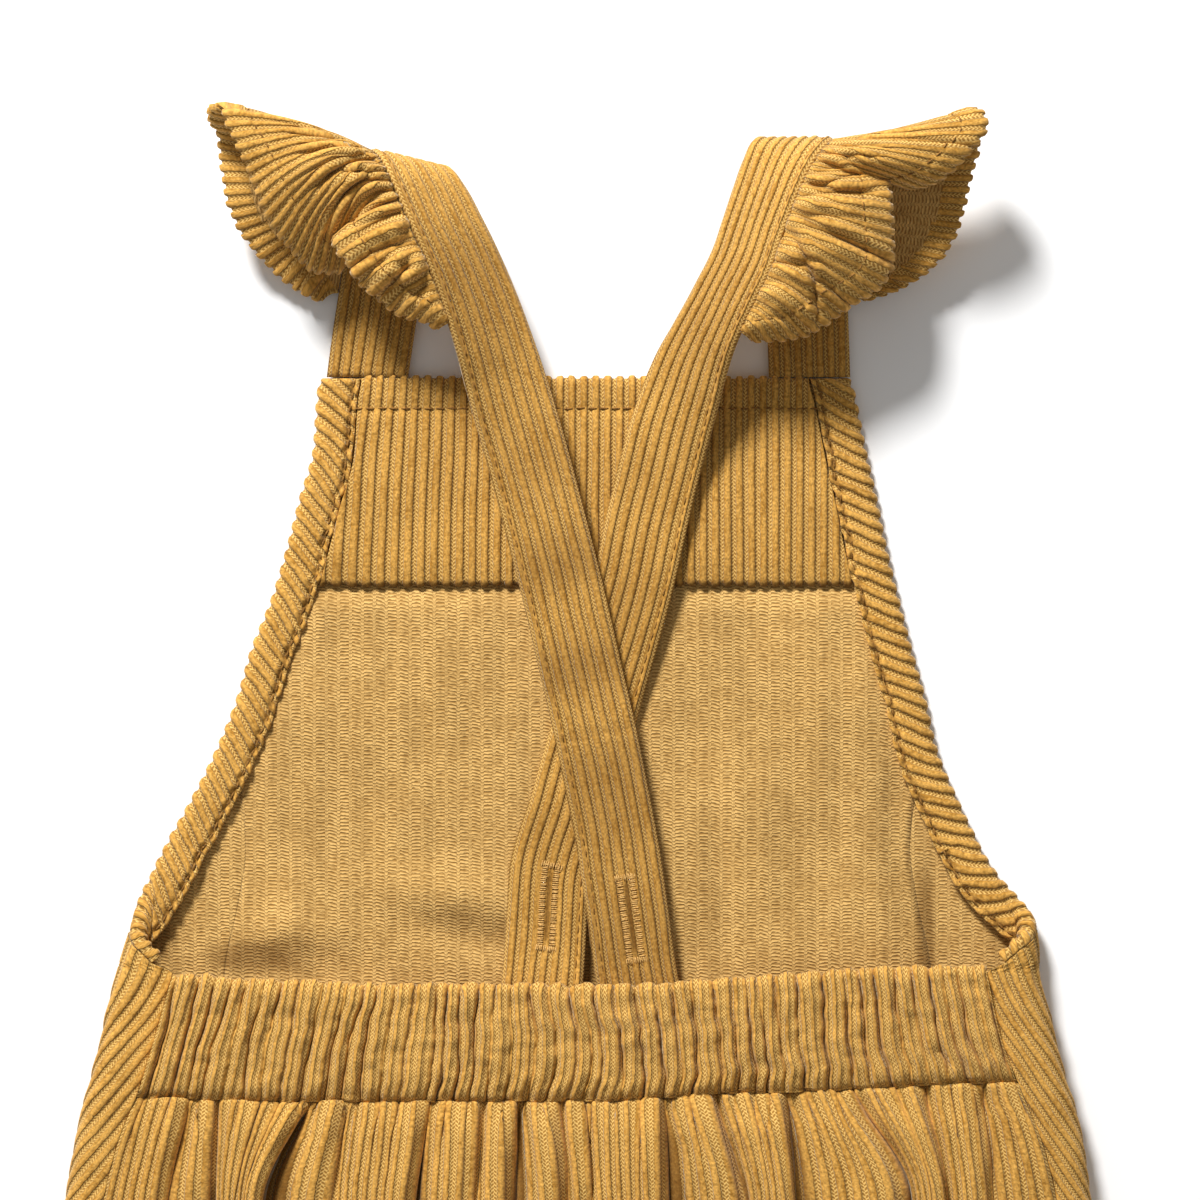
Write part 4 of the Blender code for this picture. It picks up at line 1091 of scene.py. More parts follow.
def make_waist_casing(sizes, looks):
    """An elasticated tube with upright gathers, stitched along its lower edge."""
    shares = np.concatenate((np.linspace(0, 0.12, 9)[:-1], np.linspace(0.12, 0.92, 27)[:-1],
                             np.linspace(0.92, 1, 8)))
    wales = np.linspace(0, BACK_WALES, BACK_WALES * CASING_PER_WALE + 1)
    between = (wales[1:] + wales[:-1]) / 2
    ends = CASING_EDGES["x"][0], CASING_EDGES["x"][-1]
    x = np.zeros((len(shares), len(wales)))
    for r, share in enumerate(shares):
        low = -float(casing_side("left", casing_edge(ends[0], share)))
        high = float(casing_side("right", casing_edge(ends[1], share)))
        x[r] = spread(low, high, GROOVE_WIDTH + gather_swell(between, share * CASING_DEPTH))
    share = np.broadcast_to(shares[:, None], x.shape)
    wale = np.broadcast_to(wales, x.shape)
    swell = gather_swell(wale, share * CASING_DEPTH)
    down = share * (casing_edge(x, 0.0) - casing_edge(x, 1.0))
    pinch = bell((1 - share) * CASING_DEPTH, 2.3)
    top_roll = rounded(down + 0.15, 3.4)
    tube = CASING_TUBE * (0.40 + 0.60 * top_roll) * (1 - 0.38 * pinch)
    bulge = 0.6 * np.sin(math.pi * share) ** 0.6
    rise = CASING_SWELL * (swell - GATHER_MIDDLE) * (1 - 0.45 * pinch) * top_roll + bulge
    crumple = 0.45 * drift(wale, down * 0.5, 2.2, 55) + 0.3 * drift(wale, down * 0.8, 1.2, 56)
    rise = rise + crumple * top_roll
    ribs = sizes.wale_rise / MM * 0.6 * rib(wale) * (1 - 0.5 * pinch) * ease(0.2, 0.7, swell)
    rise = rise + ribs
    tip = (1.7 * swell - 1.1 + 0.5 * drift(wale, 0.0, 1.1, 58)) * ease(4.5, 0.0, down)
    y = casing_edge(x, share) + tip + seam_waver(wale) * ease(CASING_DEPTH - 7, CASING_DEPTH, down)
    middle = np.stack((x, y, CASING_UNDER + tube / 2), axis=-1)
    edge = rounded(down + 0.1, 1.8)
    # Painted shade in the gathers' grooves and along the pinched row of stitches; on the crests the
    # ground opens.
    shade = crest_opening(swell) + 0.45 * pinch * ease(1.0, 0.5, swell)
    cloth = Cloth("waist_casing_cloth", middle, (tube / 2 + rise) * edge, tube / 2 * edge,
                  (wale, y / (sizes.wale_pitch / MM)), (looks["corduroy"], looks["corduroy"]),
                  flip=True, shade=np.clip(shade, -1, 1))
    row = index_of(CASING_STITCH, shares)
    columns_at = np.linspace(2, len(wales) - 3, 900)
    lift = np.interp(columns_at, np.arange(len(wales)), (tube / 2 + rise)[int(round(row))])
    stitches = sew_on(cloth, "casing_stitches", row, columns_at, (lift * 0.92)[:, None], sizes,
                      looks, length=0.8, thread=0.8, seed=7)
    dress(cloth.piece, "waist_casing", flat=(0.30, 0.034), area=0.0085, held="gathered",
          rests_on=["front_panel"], with_pieces=[stitches])


def fold_line(fold, down):
    """How far from the centre line a fold's deepest line is at a distance below the casing."""
    return smooth(FOLD_MARKS, (fold["x"], fold["mid"], fold["end"]), down)


def fold_strength(fold, down):
    """A fold's depth at a distance below the casing, in millimetres."""
    reach = fold["reach"]
    return fold["depth"] * ease(-3, 6, down) * (1 - ease(0.45 * reach, reach, down))


def back_level(x, y):
    """Height of the middle of the back's cloth without its folds."""
    side_level = smooth(SIDE_HEIGHT["y"], SIDE_HEIGHT["z"], y)
    middle = smooth(BACK_HEIGHT["y"], BACK_HEIGHT["z"], y)
    crown = 1 - np.clip(np.abs(x) / CROWN_HALF, 0, 1) ** 4
    height = side_level + (middle - side_level) * crown
    tab = ease(CROTCH_RISE, CROTCH_TAB, y)
    height = height * (1 - tab) + middle * tab
    return height + (HEM_LEVEL - height) * near_leg_hem(x, y) * (1 - tab)


def near_leg_hem(x, y):
    """1 at the leg openings' hem and 0 well inside it."""
    return 1 - ease(0, HEM_REACH, y - leg_curve(x))


def back_columns(wales, fold_wales, down, low, high):
    """Where the back's columns lie across one row: folds stay on their wales, and the cloth
    between them keeps its ribs' spacing while the folds' walls take up what is left over."""
    between = (wales[1:] + wales[:-1]) / 2
    fading = math.exp(-max(down, 0.0) / GATHER_FADES)
    gathers = GROOVE_WIDTH + gather_swell(between, down + CASING_DEPTH)
    natural = BACK_RIB_WIDTH / PER_WALE * (1 + (gathers / gathers.mean() - 1) * fading)
    walls = np.zeros_like(between)
    places = []
    free = ease(70, 150, down)
    for fold, at in zip(FOLDS, fold_wales):
        strength = float(fold_strength(fold, max(down, 6.0))) / 6.0
        beside = between - at
        walls = np.maximum(walls, strength * bell(beside, np.where(beside < 0, 0.5, 1.2)))
        even = low + (high - low) * at / BACK_WALES
        places.append(float(fold_line(fold, down)) * (1 - free) + even * free)
    walls = np.clip(walls, 0.0, 1.0)
    marks = np.concatenate(([0.0], fold_wales, [BACK_WALES]))
    places = np.concatenate(([low], np.clip(places, low + 1.0, high - 1.0), [high]))
    widths = np.zeros_like(natural)
    for k in range(len(marks) - 1):
        band = (between >= marks[k]) & (between < marks[k + 1])
        spare = natural[band].sum() - (places[k + 1] - places[k])
        taken = np.clip(spare / max((natural * walls)[band].sum(), 0.01), -0.3, 0.86)
        widths[band] = natural[band] * (1 - taken * walls[band])
        widths[band] *= (places[k + 1] - places[k]) / widths[band].sum()
    return spread(low, high, widths)


def fold_drop(wale, fold_wales, down):
    """How far the folds sink the back's cloth, and how far their crests open its ribs."""
    drop, crest = np.zeros_like(wale), np.zeros_like(wale)
    for fold, at in zip(FOLDS, fold_wales):
        strength = fold_strength(fold, down)
        spread_by = 1 + FOLD_WIDENS * down
        beside = (wale - at + 0.25 * drift(down, at, 9, 64)) / spread_by
        # The wall on the left of each fold is the steeper one.
        trough = np.exp(-np.abs(beside / np.where(beside < 0, 0.55, 1.25)) ** 1.7)
        top = bell(beside + 1.5, 0.9) + 0.6 * bell(beside - 3.0, 1.4)
        drop = drop + strength * (trough - 0.22 * top)
        crest = crest + strength / 6.0 * top
    return drop / (1 + (np.abs(drop) / FOLD_LIMIT) ** 4) ** 0.25, np.clip(crest, 0, 1)


def make_back_panel(sizes, looks):
    """The gathered back, whose wales run from the casing to the leg openings and the crotch."""
    steps = np.linspace(0, 1, BACK_ROWS)
    heights = BACK_TOP - (steps * 0.42 + steps**2 * 0.58) * (BACK_TOP - CROTCH)
    wales = np.linspace(0, BACK_WALES, BACK_WALES * PER_WALE + 1)
    x = np.zeros((len(heights), len(wales)))
    y = np.zeros_like(x)
    fold_wales = None
    for r, level in enumerate(heights):
        follow = (1 - (heights[0] - level) / (heights[0] - CROTCH)) ** 6
        ends = []
        for side, corner in (("left", CASING_EDGES["x"][0]), ("right", CASING_EDGES["x"][-1])):
            end_y = level + (float(casing_foot(corner)) - heights[0]) * follow
            reach = min(float(casing_side(side, end_y)), float(leg_edge(end_y)))
            ends.append(math.copysign(reach, corner))
        if fold_wales is None:
            width = ends[1] - ends[0]
            fold_wales = [(fold["x"] - ends[0]) / width * BACK_WALES for fold in FOLDS]
        x[r] = back_columns(wales, fold_wales, heights[0] - level, *ends)
        y[r] = level + (casing_foot(x[r]) - heights[0]) * follow
    wale = np.broadcast_to(wales, x.shape)
    down = smooth(CASING_EDGES["x"], CASING_EDGES["bottom"], x) - y
    fading = np.exp(-np.maximum(down, 0.0) / GATHER_FADES)
    swell = gather_swell(wale, down + CASING_DEPTH)
    drop, crest = fold_drop(wale, fold_wales, down)
    inside = 1 - near_leg_hem(x, y)
    rumple = 0.5 * drift(x, y, 23, 62) * ease(4, 30, down) + 0.22 * drift(wale, y * 0.3, 3, 63)
    z = back_level(x, y) - drop * inside + CASING_SWELL * (swell - GATHER_MIDDLE) * fading
    z = z + rumple * inside
    y = y + (seam_waver(wale) + GAP - SEAM_SLACK) * ease(8, 0, down)
    middle = np.stack((x, y, z), axis=-1)
    hem = hem_distance(x, y)
    folded = ease(LEG_HEM + 0.8, LEG_HEM - 0.4, hem)
    stitched = bell(hem - LEG_HEM + LEG_STITCH, 0.7)
    edge = rounded(hem + 0.1, 1.1) * (0.55 + 0.45 * rounded(down - 0.2, 1.3))
    worn = 0.85 + 0.15 * drift(x, y, 7, 71)
    rise = sizes.wale_rise / MM * worn * rib(wale) * (1 - 0.6 * stitched)
    # Painted shade in the folds' valleys, just under the casing and slightly all over the back; on
    # the crests the ground opens instead.
    deep = np.maximum(ease(1.6, 5.0, drop), ease(1.5, 0.0, down) * 0.5 * ease(1.0, 0.5, swell))
    shade = np.where(deep > 0.1, deep, -0.55 * crest)
    shade = shade + crest_opening(swell) * fading * (deep < 0.4) + 0.20
    outer = (HALF - 0.2 + 0.45 * folded - 0.3 * stitched + rise) * edge
    inner = (HALF + 0.35 * folded) * edge
    cloth = Cloth("back_panel_cloth", middle, outer, inner, (wale, y / (sizes.wale_pitch / MM)),
                  (looks["corduroy"], looks["wrong"]), flip=True, shade=np.clip(shade, -1, 1))
    rows = []
    along = np.linspace(0.02, 0.985, 260)
    for sign in SIDES.values():
        line_x = sign * (CROTCH_HALF + (edge_of("left", LEG_TOP) - CROTCH_HALF) * along)
        at = grid_place(x, y, line_x, leg_curve(line_x), LEG_HEM - LEG_STITCH)
        rows.append((*cloth.trace(*at, HALF + 0.25), None))
    stitches = sew("leg_hem_stitches", rows, sizes, looks["seam"], seed=9)
    dress(cloth.piece, "back_panel", flat=(0.30, 0.20), area=0.040, held="gathered",
          rests_on=["front_panel"], with_pieces=[stitches])


def hem_distance(x, y):
    """Rough distance from the leg openings' and the crotch's hem."""
    step = 0.5
    slope = (leg_curve(np.abs(x) + step) - leg_curve(np.abs(x) - step)) / (2 * step)
    beside = (y - leg_curve(x)) / np.sqrt(1 + slope**2)
    return np.minimum(np.where(np.abs(x) < CROTCH_HALF, 99.0, beside), y - CROTCH)


def grid_place(x, y, line_x, line_y, inside):
    """Fractional rows and columns of points that lie `inside` millimetres in from a line."""
    tangent = unit(np.stack((np.gradient(line_x), np.gradient(line_y)), axis=-1))
    inward = np.stack((-tangent[:, 1], tangent[:, 0]), axis=-1)
    inward = inward * np.where(inward[:, 1:] < 0, -1, 1)
    goal_x, goal_y = line_x + inward[:, 0] * inside, line_y + inward[:, 1] * inside
    row = index_of(-goal_y, -y[:, x.shape[1] // 2])
    column = np.zeros_like(row)
    for k, r in enumerate(row):
        low = int(r)
        high = min(low + 1, len(x) - 1)
        column[k] = index_of(goal_x[k], x[low] * (1 - (r - low)) + x[high] * (r - low))
    return row, column


# ---------------------------------------------------------------- straps and ruffles

def strap_run(side):
    """How far along its strap each row of the table lies, from the strap's bib end."""
    return lengths(np.stack([STRAPS[side][key] for key in "xyz"], axis=-1))


def strap_frames(side, along):
    """Middle and width direction of a strap at distances from its bib end."""
    run = strap_run(side)
    here = {key: smooth(run, column, along) for key, column in STRAPS[side].items()}
    turn, tilt = np.radians(here["turn"]), np.radians(here["tilt"])
    width = np.stack((np.cos(turn) * np.cos(tilt), np.sin(turn) * np.cos(tilt),
                      SIDES[side] * np.sin(tilt)), axis=-1)
    return np.stack([here[key] for key in "xyz"], axis=-1), width


def make_straps(sizes, looks):
    """Straps of two pressed plies, each with a buttonhole at its end."""
    pitch = sizes.wale_pitch / MM
    for side, seed in zip(SIDES, (80, 90)):
        length = strap_run(side)[-1]
        stations = np.linspace(0, length, STRAP_ROWS)
        middle, width = strap_frames(side, stations)
        across = np.linspace(-STRAP_WIDTH / 2, STRAP_WIDTH / 2, STRAP_WALES * 8 + 3)
        along, w = np.broadcast_arrays(stations[:, None], across[None, :])
        grid = middle[:, None, :] + width[:, None, :] * across[None, :, None]
        wale = (w + STRAP_WIDTH / 2 - 0.5) / (STRAP_WIDTH - 1.0) * STRAP_WALES
        wale = wale + 0.10 * drift(along, w, 13, seed)
        stitched = bell(w - STRAP_STITCH[side], 0.55)
        hole_w = w - HOLE_OFF[side]
        hole_from = np.abs(length - along - HOLE_FROM_END[side])
        in_hole = ease(3.4, 2.6, np.abs(hole_w)) * ease(HOLE_HALF + 1.2, HOLE_HALF, hole_from)
        slit = bell(hole_w, 0.45) * ease(HOLE_HALF - 1.0, HOLE_HALF - 3.0, hole_from)
        from_edge = STRAP_WIDTH / 2 - np.abs(w)
        edge = rounded(from_edge + 0.08, 1.25)
        uneven = 0.85 + 0.15 * drift(along, w, 8, seed + 1)
        rise = sizes.wale_rise / MM * 0.8 * uneven * rib(wale) * (1 - 0.7 * stitched)
        rise = rise * (1 - 0.75 * in_hole)
        creased = strap_creases(side, along)
        outer = (STRAP_HALF - 0.25 - 0.3 * stitched - 0.5 * slit + rise - creased) * edge
        inner = (STRAP_HALF - 0.3 + 0.35 * rib(wale)) * edge
        # Painted shade: the buttonhole's slit, the creases and a darkening of each strap in patches
        # are mixed towards the crease colour.
        wear_and_shade = STRAP_SHADE[side] * (1 + 0.6 * drift(along, w * 0.4, 13, seed + 6))
        shade = np.clip(0.9 * slit + 0.6 * creased + wear_and_shade, 0, 1)
        cloth = Cloth("strap_cloth_" + side, grid, outer, inner, (wale, along / pitch),
                      (looks["corduroy"], looks["corduroy"]), flip=True, shade=shade)
        column = index_of(STRAP_STITCH[side], across)
        rows = np.linspace(1, STRAP_ROWS - 3, 400)
        stitches = sew_on(cloth, "strap_stitches_" + side, rows, column, STRAP_HALF - 0.35, sizes,
                          looks, length=0.9, thread=0.8, seed=seed + 2)
        paths = buttonhole_paths(cloth, stations, across, side)
        hole = sew("buttonhole_" + side, paths, sizes, looks["thread"], pitch=0.17, length=0.72,
                   thread=0.75, seed=seed + 3)
        dress(cloth.piece, "strap_" + side, flat=(0.0204, 0.30), area=0.0060, held="folded",
              rests_on=["front_panel"], with_pieces=[stitches, hole])


def strap_creases(side, along):
    """Slight creases across a strap where it was folded or has settled."""
    depth = 0.0 * along
    for place, deep in STRAP_CREASES[side]:
        depth = depth + deep * bell(along - place, 0.8)
    return depth


def buttonhole_paths(cloth, stations, across, side):
    """The two rows of close cross stitches beside the slit and the bars at its ends."""
    middle, offset = stations[-1] - HOLE_FROM_END[side], HOLE_OFF[side]
    along = np.linspace(middle - HOLE_HALF, middle + HOLE_HALF, 80)
    wide = np.linspace(offset - HOLE_BAR, offset + HOLE_BAR, 24)
    lines = [(along, offset + beside, STRAP_HALF - 0.12) for beside in (-HOLE_BESIDE, HOLE_BESIDE)]
    lines += [(middle + end, wide, STRAP_HALF - 0.05) for end in (-HOLE_HALF, HOLE_HALF)]
    paths = []
    for at, place_across, lift in lines:
        place, facing = cloth.trace(index_of(at, stations), index_of(place_across, across), lift)
        tangent = unit(np.gradient(place, axis=0))
        paths.append((place, facing, unit(np.cross(facing, tangent))))
    return paths


def ruffle_creases(side, along, v, hem_place):
    """How far the listed creases sink a ruffle's cloth, and how dark each is."""
    sunk, dark = np.zeros_like(along), np.zeros_like(along)
    for crease in RUFFLE_CREASES[side]:
        root, tip = crease["from"], crease["to"]
        share = (v - root) / (tip - root)
        middle = hem_place(crease["start"] + (crease["end"] - crease["start"]) * share)
        beside = np.abs(along - middle) * (0.45 + 0.55 * v) / crease["half"]
        here = ease(root - 0.1, root + 0.1, v) * ease(tip + 0.1, tip - 0.15, v)
        sunk = sunk + crease["depth"] * here * (bell(beside, 1.0) - 0.4 * bell(beside - 1.7, 0.8))
        # Painted shade along each crease.
        dark = dark + here * bell(beside, 0.75)
    return sunk, np.clip(dark, 0, 1)


def make_ruffles(sizes, looks):
    """Gathered ruffles on the straps' outer edges, folded over the shoulders with them."""
    pitch = sizes.wale_pitch / MM
    for side, seed in zip(SIDES, (100, 110)):
        table, outward_x = RUFFLES[side], SIDES[side]
        index = np.arange(len(table["along"]))
        fine = np.linspace(0, index[-1], 1200)
        hem = np.stack([smooth(index, table[key], fine) for key in "xyz"], axis=-1)
        run = lengths(hem)
        wales = int(round(run[-1] / pitch))
        place = np.interp(np.linspace(0, run[-1], wales * 7 + 1), run, fine)
        spokes = {key: smooth(index, column, place) for key, column in table.items()}
        middle, width = strap_frames(side, spokes["along"])
        root = middle + outward_x * width * (STRAP_WIDTH / 2 + RUFFLE_GAP)
        hem = np.stack([spokes[key] for key in "xyz"], axis=-1)
        span = np.linalg.norm(hem - root, axis=1, keepdims=True)
        knee = root + outward_x * width * span * RUFFLE_KNEE
        knee[:, 2] += spokes["bulge"]
        tip = table["along"][table["y"].argmax()]
        knee[:, 1] += RUFFLE_ARCH[side] * bell(spokes["along"] - tip, 6.0)
        v = np.linspace(0, 1, RUFFLE_ROWS)[:, None, None]
        grid = root * (1 - v) ** 2 + knee * 2 * v * (1 - v) + hem * v * v
        v = v[..., 0]
        along = np.broadcast_to(np.linspace(0, run[-1], len(place))[None, :], grid.shape[:2])
        away = v * span[:, 0]
        phase = along / RUFFLE_GATHER_PITCH + 0.8 * drift(along, away, 16, seed)
        phase = phase + 0.3 * drift(along, away, 6, seed + 1)
        reach = bell(away - 5.0, 10.0) * ease(0, 1.5, away)
        crumple = np.cos(2 * math.pi * phase) + 0.5 * drift(along, away * 0.6, 4.4, seed + 4)
        gather = 1.35 * RUFFLE_RELIEF[side] * crumple * reach * np.minimum(1.0, span[:, 0] / 14.0)
        sunk, dark = ruffle_creases(side, along, v, lambda spoke: np.interp(spoke, fine, run))
        flutter = 0.9 * drift(along, away * 0.45, 9, seed + 2) * ease(4, 14, away)
        grid[..., 2] += gather + flutter - sunk * RUFFLE_RELIEF[side]
        wale = np.broadcast_to(np.linspace(0, wales, len(place))[None, :], grid.shape[:2])
        from_hem = (1 - v) * span[:, 0]
        stitched = bell(from_hem - RUFFLE_HEM, 0.6)
        folded = ease(RUFFLE_HEM + 0.8, RUFFLE_HEM - 0.4, from_hem)
        edge = rounded(from_hem + 0.1, 1.0)
        narrow = ease(0.0, 6.0, span[:, 0])
        rise = sizes.wale_rise / MM * 0.75 * RUFFLE_RELIEF[side] * rib(wale)
        rise = rise * (0.35 + 0.65 * ease(1, 10, away)) * (1 - 0.6 * stitched)
        scallop = 0.85 * rib(wale) + 0.25 * drift(wale, 0.0, 0.8, seed + 5)
        scallop = scallop * ease(1.4, 0.0, from_hem)
        grid = grid + unit(hem - root)[None] * scallop[..., None]
        outer = (0.55 + 0.35 * folded * narrow - 0.25 * stitched + rise) * edge
        inner = (0.6 + 0.35 * folded * narrow + 0.25 * rib(wale) * folded) * edge
        cells = (1 - v[:-1]) * span[None, :-1, 0]
        inner_slots = np.where(cells < RUFFLE_HEM + 0.3, 0, 1)
        # Painted shade in the gathers' hollows, along the root seam and along the creases; on the
        # crests the ground opens.
        shade = np.clip(-0.3 * gather - 0.2, 0, 0.4) * ease(0, 2, away) + 0.3 * np.exp(-away / 1.2)
        shade = shade - np.clip(0.6 * (gather + flutter) - 0.7 * dark, 0, 0.8) + 0.6 * dark
        cloth = Cloth("ruffle_cloth_" + side, grid, outer, inner, (wale, away / pitch),
                      (looks["corduroy"], looks["wrong"]), flip=side == "right",
                      inner_slots=inner_slots, shade=np.clip(shade, -1, 1))
        columns = np.linspace(0, len(place) - 1.01, 500)
        depth = np.interp(columns, np.arange(len(place)), span[:, 0])
        wide = depth > RUFFLE_HEM + 3
        rows = (1 - RUFFLE_HEM / depth[wide]) * (RUFFLE_ROWS - 1)
        stitches = sew_on(cloth, "ruffle_stitches_" + side, rows, columns[wide], 0.75, sizes, looks,
                          length=0.8, thread=0.8, seed=seed + 3)
        dress(cloth.piece, "ruffle_" + side, flat=(0.19, 0.045), area=0.0042, held="gathered",
              rests_on=["strap_" + side], with_pieces=[stitches])


# ---------------------------------------------------------------- fastenings

def make_buttons(sizes, looks):
    """Plain rimmed buttons under the straps' ends, inside the casing."""
    r = BUTTON_RADIUS
    profile = ((r - 1.2, -BUTTON_THICK), (r - 0.4, -BUTTON_THICK + 0.15), (r, -BUTTON_THICK + 0.7),
               (r, -0.6), (r - 0.4, -0.12), (r - 1.1, 0.0), (r - 2.0, -0.15), (r - 2.6, -0.5),
               (r - 3.6, -0.62))
    for side in SIDES:
        x, y, z = strap_frames(side, strap_run(side)[-1] - BUTTON_FROM_END)[0]
        centre = x, y, z - STRAP_HALF - GAP
        dress(turned("horn_button_" + side, profile, centre, looks["horn"]), "button_" + side)


def make_snaps(sizes, looks):
    """Three press fasteners that close the crotch, each a cap and a stud."""
    r, post, clear = SNAP_RADIUS, SNAP_POST, GAP + 0.1
    cap = ((r - 0.3, 0.0), (r, 0.15), (r, 0.45), (r - 0.35, 0.8), (r - 1.0, 0.95), (r - 1.5, 0.8),
           (r - 2.0, 0.72), (r - 2.5, 0.95), (r - 3.2, 1.2), (r - 4.2, 1.3))
    foot = r - 0.4
    for k in range(3):
        x, y = (k - 1) * SNAP_PITCH, CROTCH + SNAP_FROM_EDGE
        level = float(back_level(x, y))
        dress(turned(f"steel_cap_{k + 1}", cap, (x, y, level + HALF + clear), looks["steel"]),
              f"snap_cap_{k + 1}")
        top = level - HALF - CLOTH - GAP - clear
        stud = ((foot - 0.2, 0.0), (foot, 0.15), (foot, 0.5), (foot - 0.4, 0.7), (post + 0.3, 0.8),
                (post, 1.0), (post, top - 0.3), (post - 0.3, top))
        dress(turned(f"steel_stud_{k + 1}", stud, (x, y, CLOTH + GAP), looks["steel"]),
              f"snap_stud_{k + 1}")


# ---------------------------------------------------------------- looks

class Look(Nodes):
    """A material and the nodes behind its shader."""

    def __init__(self, name, **constants):
        self.material = bpy.data.materials.new(name)
        self.material.use_nodes = True
        super().__init__(self.material.node_tree)
        self.shader = self.tree.nodes["Principled BSDF"]
        for label, value in constants.items():
            self.shader.inputs[label.replace("_", " ")].default_value = value

    def mix(self, share, first, second, blend="MIX"):
        """A colour between two colours."""
        settings = {"data_type": "RGBA", "blend_type": blend}
        unused = [None] * 5
        return self.node("ShaderNodeMix", settings, share, *unused, first, second, out=2)

    def place(self, across, along, other=0.0):
        """Three values as a place, or as the red, green and blue of a colour."""
        return self.node("ShaderNodeCombineXYZ", None, across, along, other)

    def shaded(self, colour, share):
        """The colour times a share."""
        return self.mix(1.0, colour, self.place(share, share, share), "MULTIPLY")

    def speckle(self, place, scale=1.0, detail=2.0):
        """Soft random values from 0 to 1."""
        return self.node("ShaderNodeTexNoise", None, Vector=place, Scale=scale, Detail=detail)

    def speckled(self, scale, detail):
        """Soft random values over the piece itself."""
        return self.speckle(self.node("ShaderNodeTexCoord", None, out=3), scale, detail)

    def wales(self):
        """The piece's own coordinates across and along its wales, and its shade value: how much
        painted shade darkens it, or below 0 how far the ribs open on a crest.
        """
        place = self.node("ShaderNodeAttribute", {"attribute_name": "wale"}, out=1)
        parts = self.node("ShaderNodeSeparateXYZ", None, place).socket.node
        return [Value(self, socket) for socket in parts.outputs]

    def finish(self, colour, height, distance):
        """The material with its colour and its relief, whose height is given in metres."""
        bump = self.node("ShaderNodeBump", None, Strength=1.0, Distance=distance, Height=height)
        self.put(colour, self.shader.inputs["Base Color"])
        self.put(bump, self.shader.inputs["Normal"])
        return self.material


def colour_of(triple):
    """A colour as a socket takes it, with its alpha."""
    return (*triple, 1.0)


def corduroy_look(tones):
    """Soft ribs of pile with strips of woven ground between them, that open on a crest."""
    look = Look("corduroy", Roughness=0.92, Specular_IOR_Level=0.10, Sheen_Weight=0.30,
                Sheen_Roughness=0.45, Sheen_Tint=(1.0, 0.88, 0.66, 1.0))
    u, v, fact = look.wales()
    crease = fact.step(0.0, 1.0)
    opened = (fact * -1).step(0.0, 1.0)
    from_middle = abs(u.part() * 2 - 1)
    wobble = look.speckle(look.place(u, v), 2.4, 3.0) - 0.5
    ragged = from_middle + wobble * 0.40 + opened * 0.22 - crease * 0.25
    woven = ragged.step(PILE_SHARE - 0.08, PILE_SHARE + 0.07)
    fibre = look.speckle(look.place(u * 6.5, v * 4.5), detail=2.5)
    nap = look.speckle(look.place(u * 0.9, v * 0.25), detail=3.0)
    tuft = look.speckle(look.place(u * 2.6, v * 2.4))
    # Painted light and shade: the pile is lighter along the middle of each ridge and darker on its
    # flanks, with random tufts of tone mixed in.
    lit = ((1 - from_middle) * 0.75 + (nap - 0.5) * 1.4 + (tuft - 0.5) * 1.5).step(0.0, 0.9)
    pile = look.mix(lit, tones["pile_deep"], tones["pile"])
    pile = look.shaded(pile, 1 + (fibre - 0.5) * 1.8)
    column = u * 5
    side = (column * 0.5).part().step(0.49, 0.51) * 2 - 1
    thread = (v * 3.2 + column.part() * side * 0.5 + wobble * 0.6).wave()
    weft = (column + 0.5).wave()
    raised = (thread * 0.78 + weft * 0.22 + (fibre - 0.5) * 0.9).step(0.18, 0.88)
    ground = look.mix(raised, tones["ground_deep"], tones["ground"])
    colour = look.mix(woven, pile, ground)
    # Painted shade: a faint dark line where the pile's edge meets the ground.
    lip_shade = 1 - abs(ragged - (PILE_SHARE + 0.02)).step(0.0, 0.12)
    # The pile shades the ground on its right.
    across = u.part()
    shadow = across.step(0.70, 0.80) * (1 - across.step(0.86, 0.97)) * (1 - opened * 0.6)
    colour = look.shaded(colour, 1 - lip_shade * 0.11 - shadow * 0.28)
    # Painted shade: creases, hollows and shadows marked by the shade value take the crease colour.
    colour = look.mix(crease * 0.72, colour, tones["crease"])
    height = (1 - woven) * (0.55 + fibre * 0.25 + tuft * 0.40) + woven * (thread * 0.20)
    return look.finish(colour, height, 0.00030)


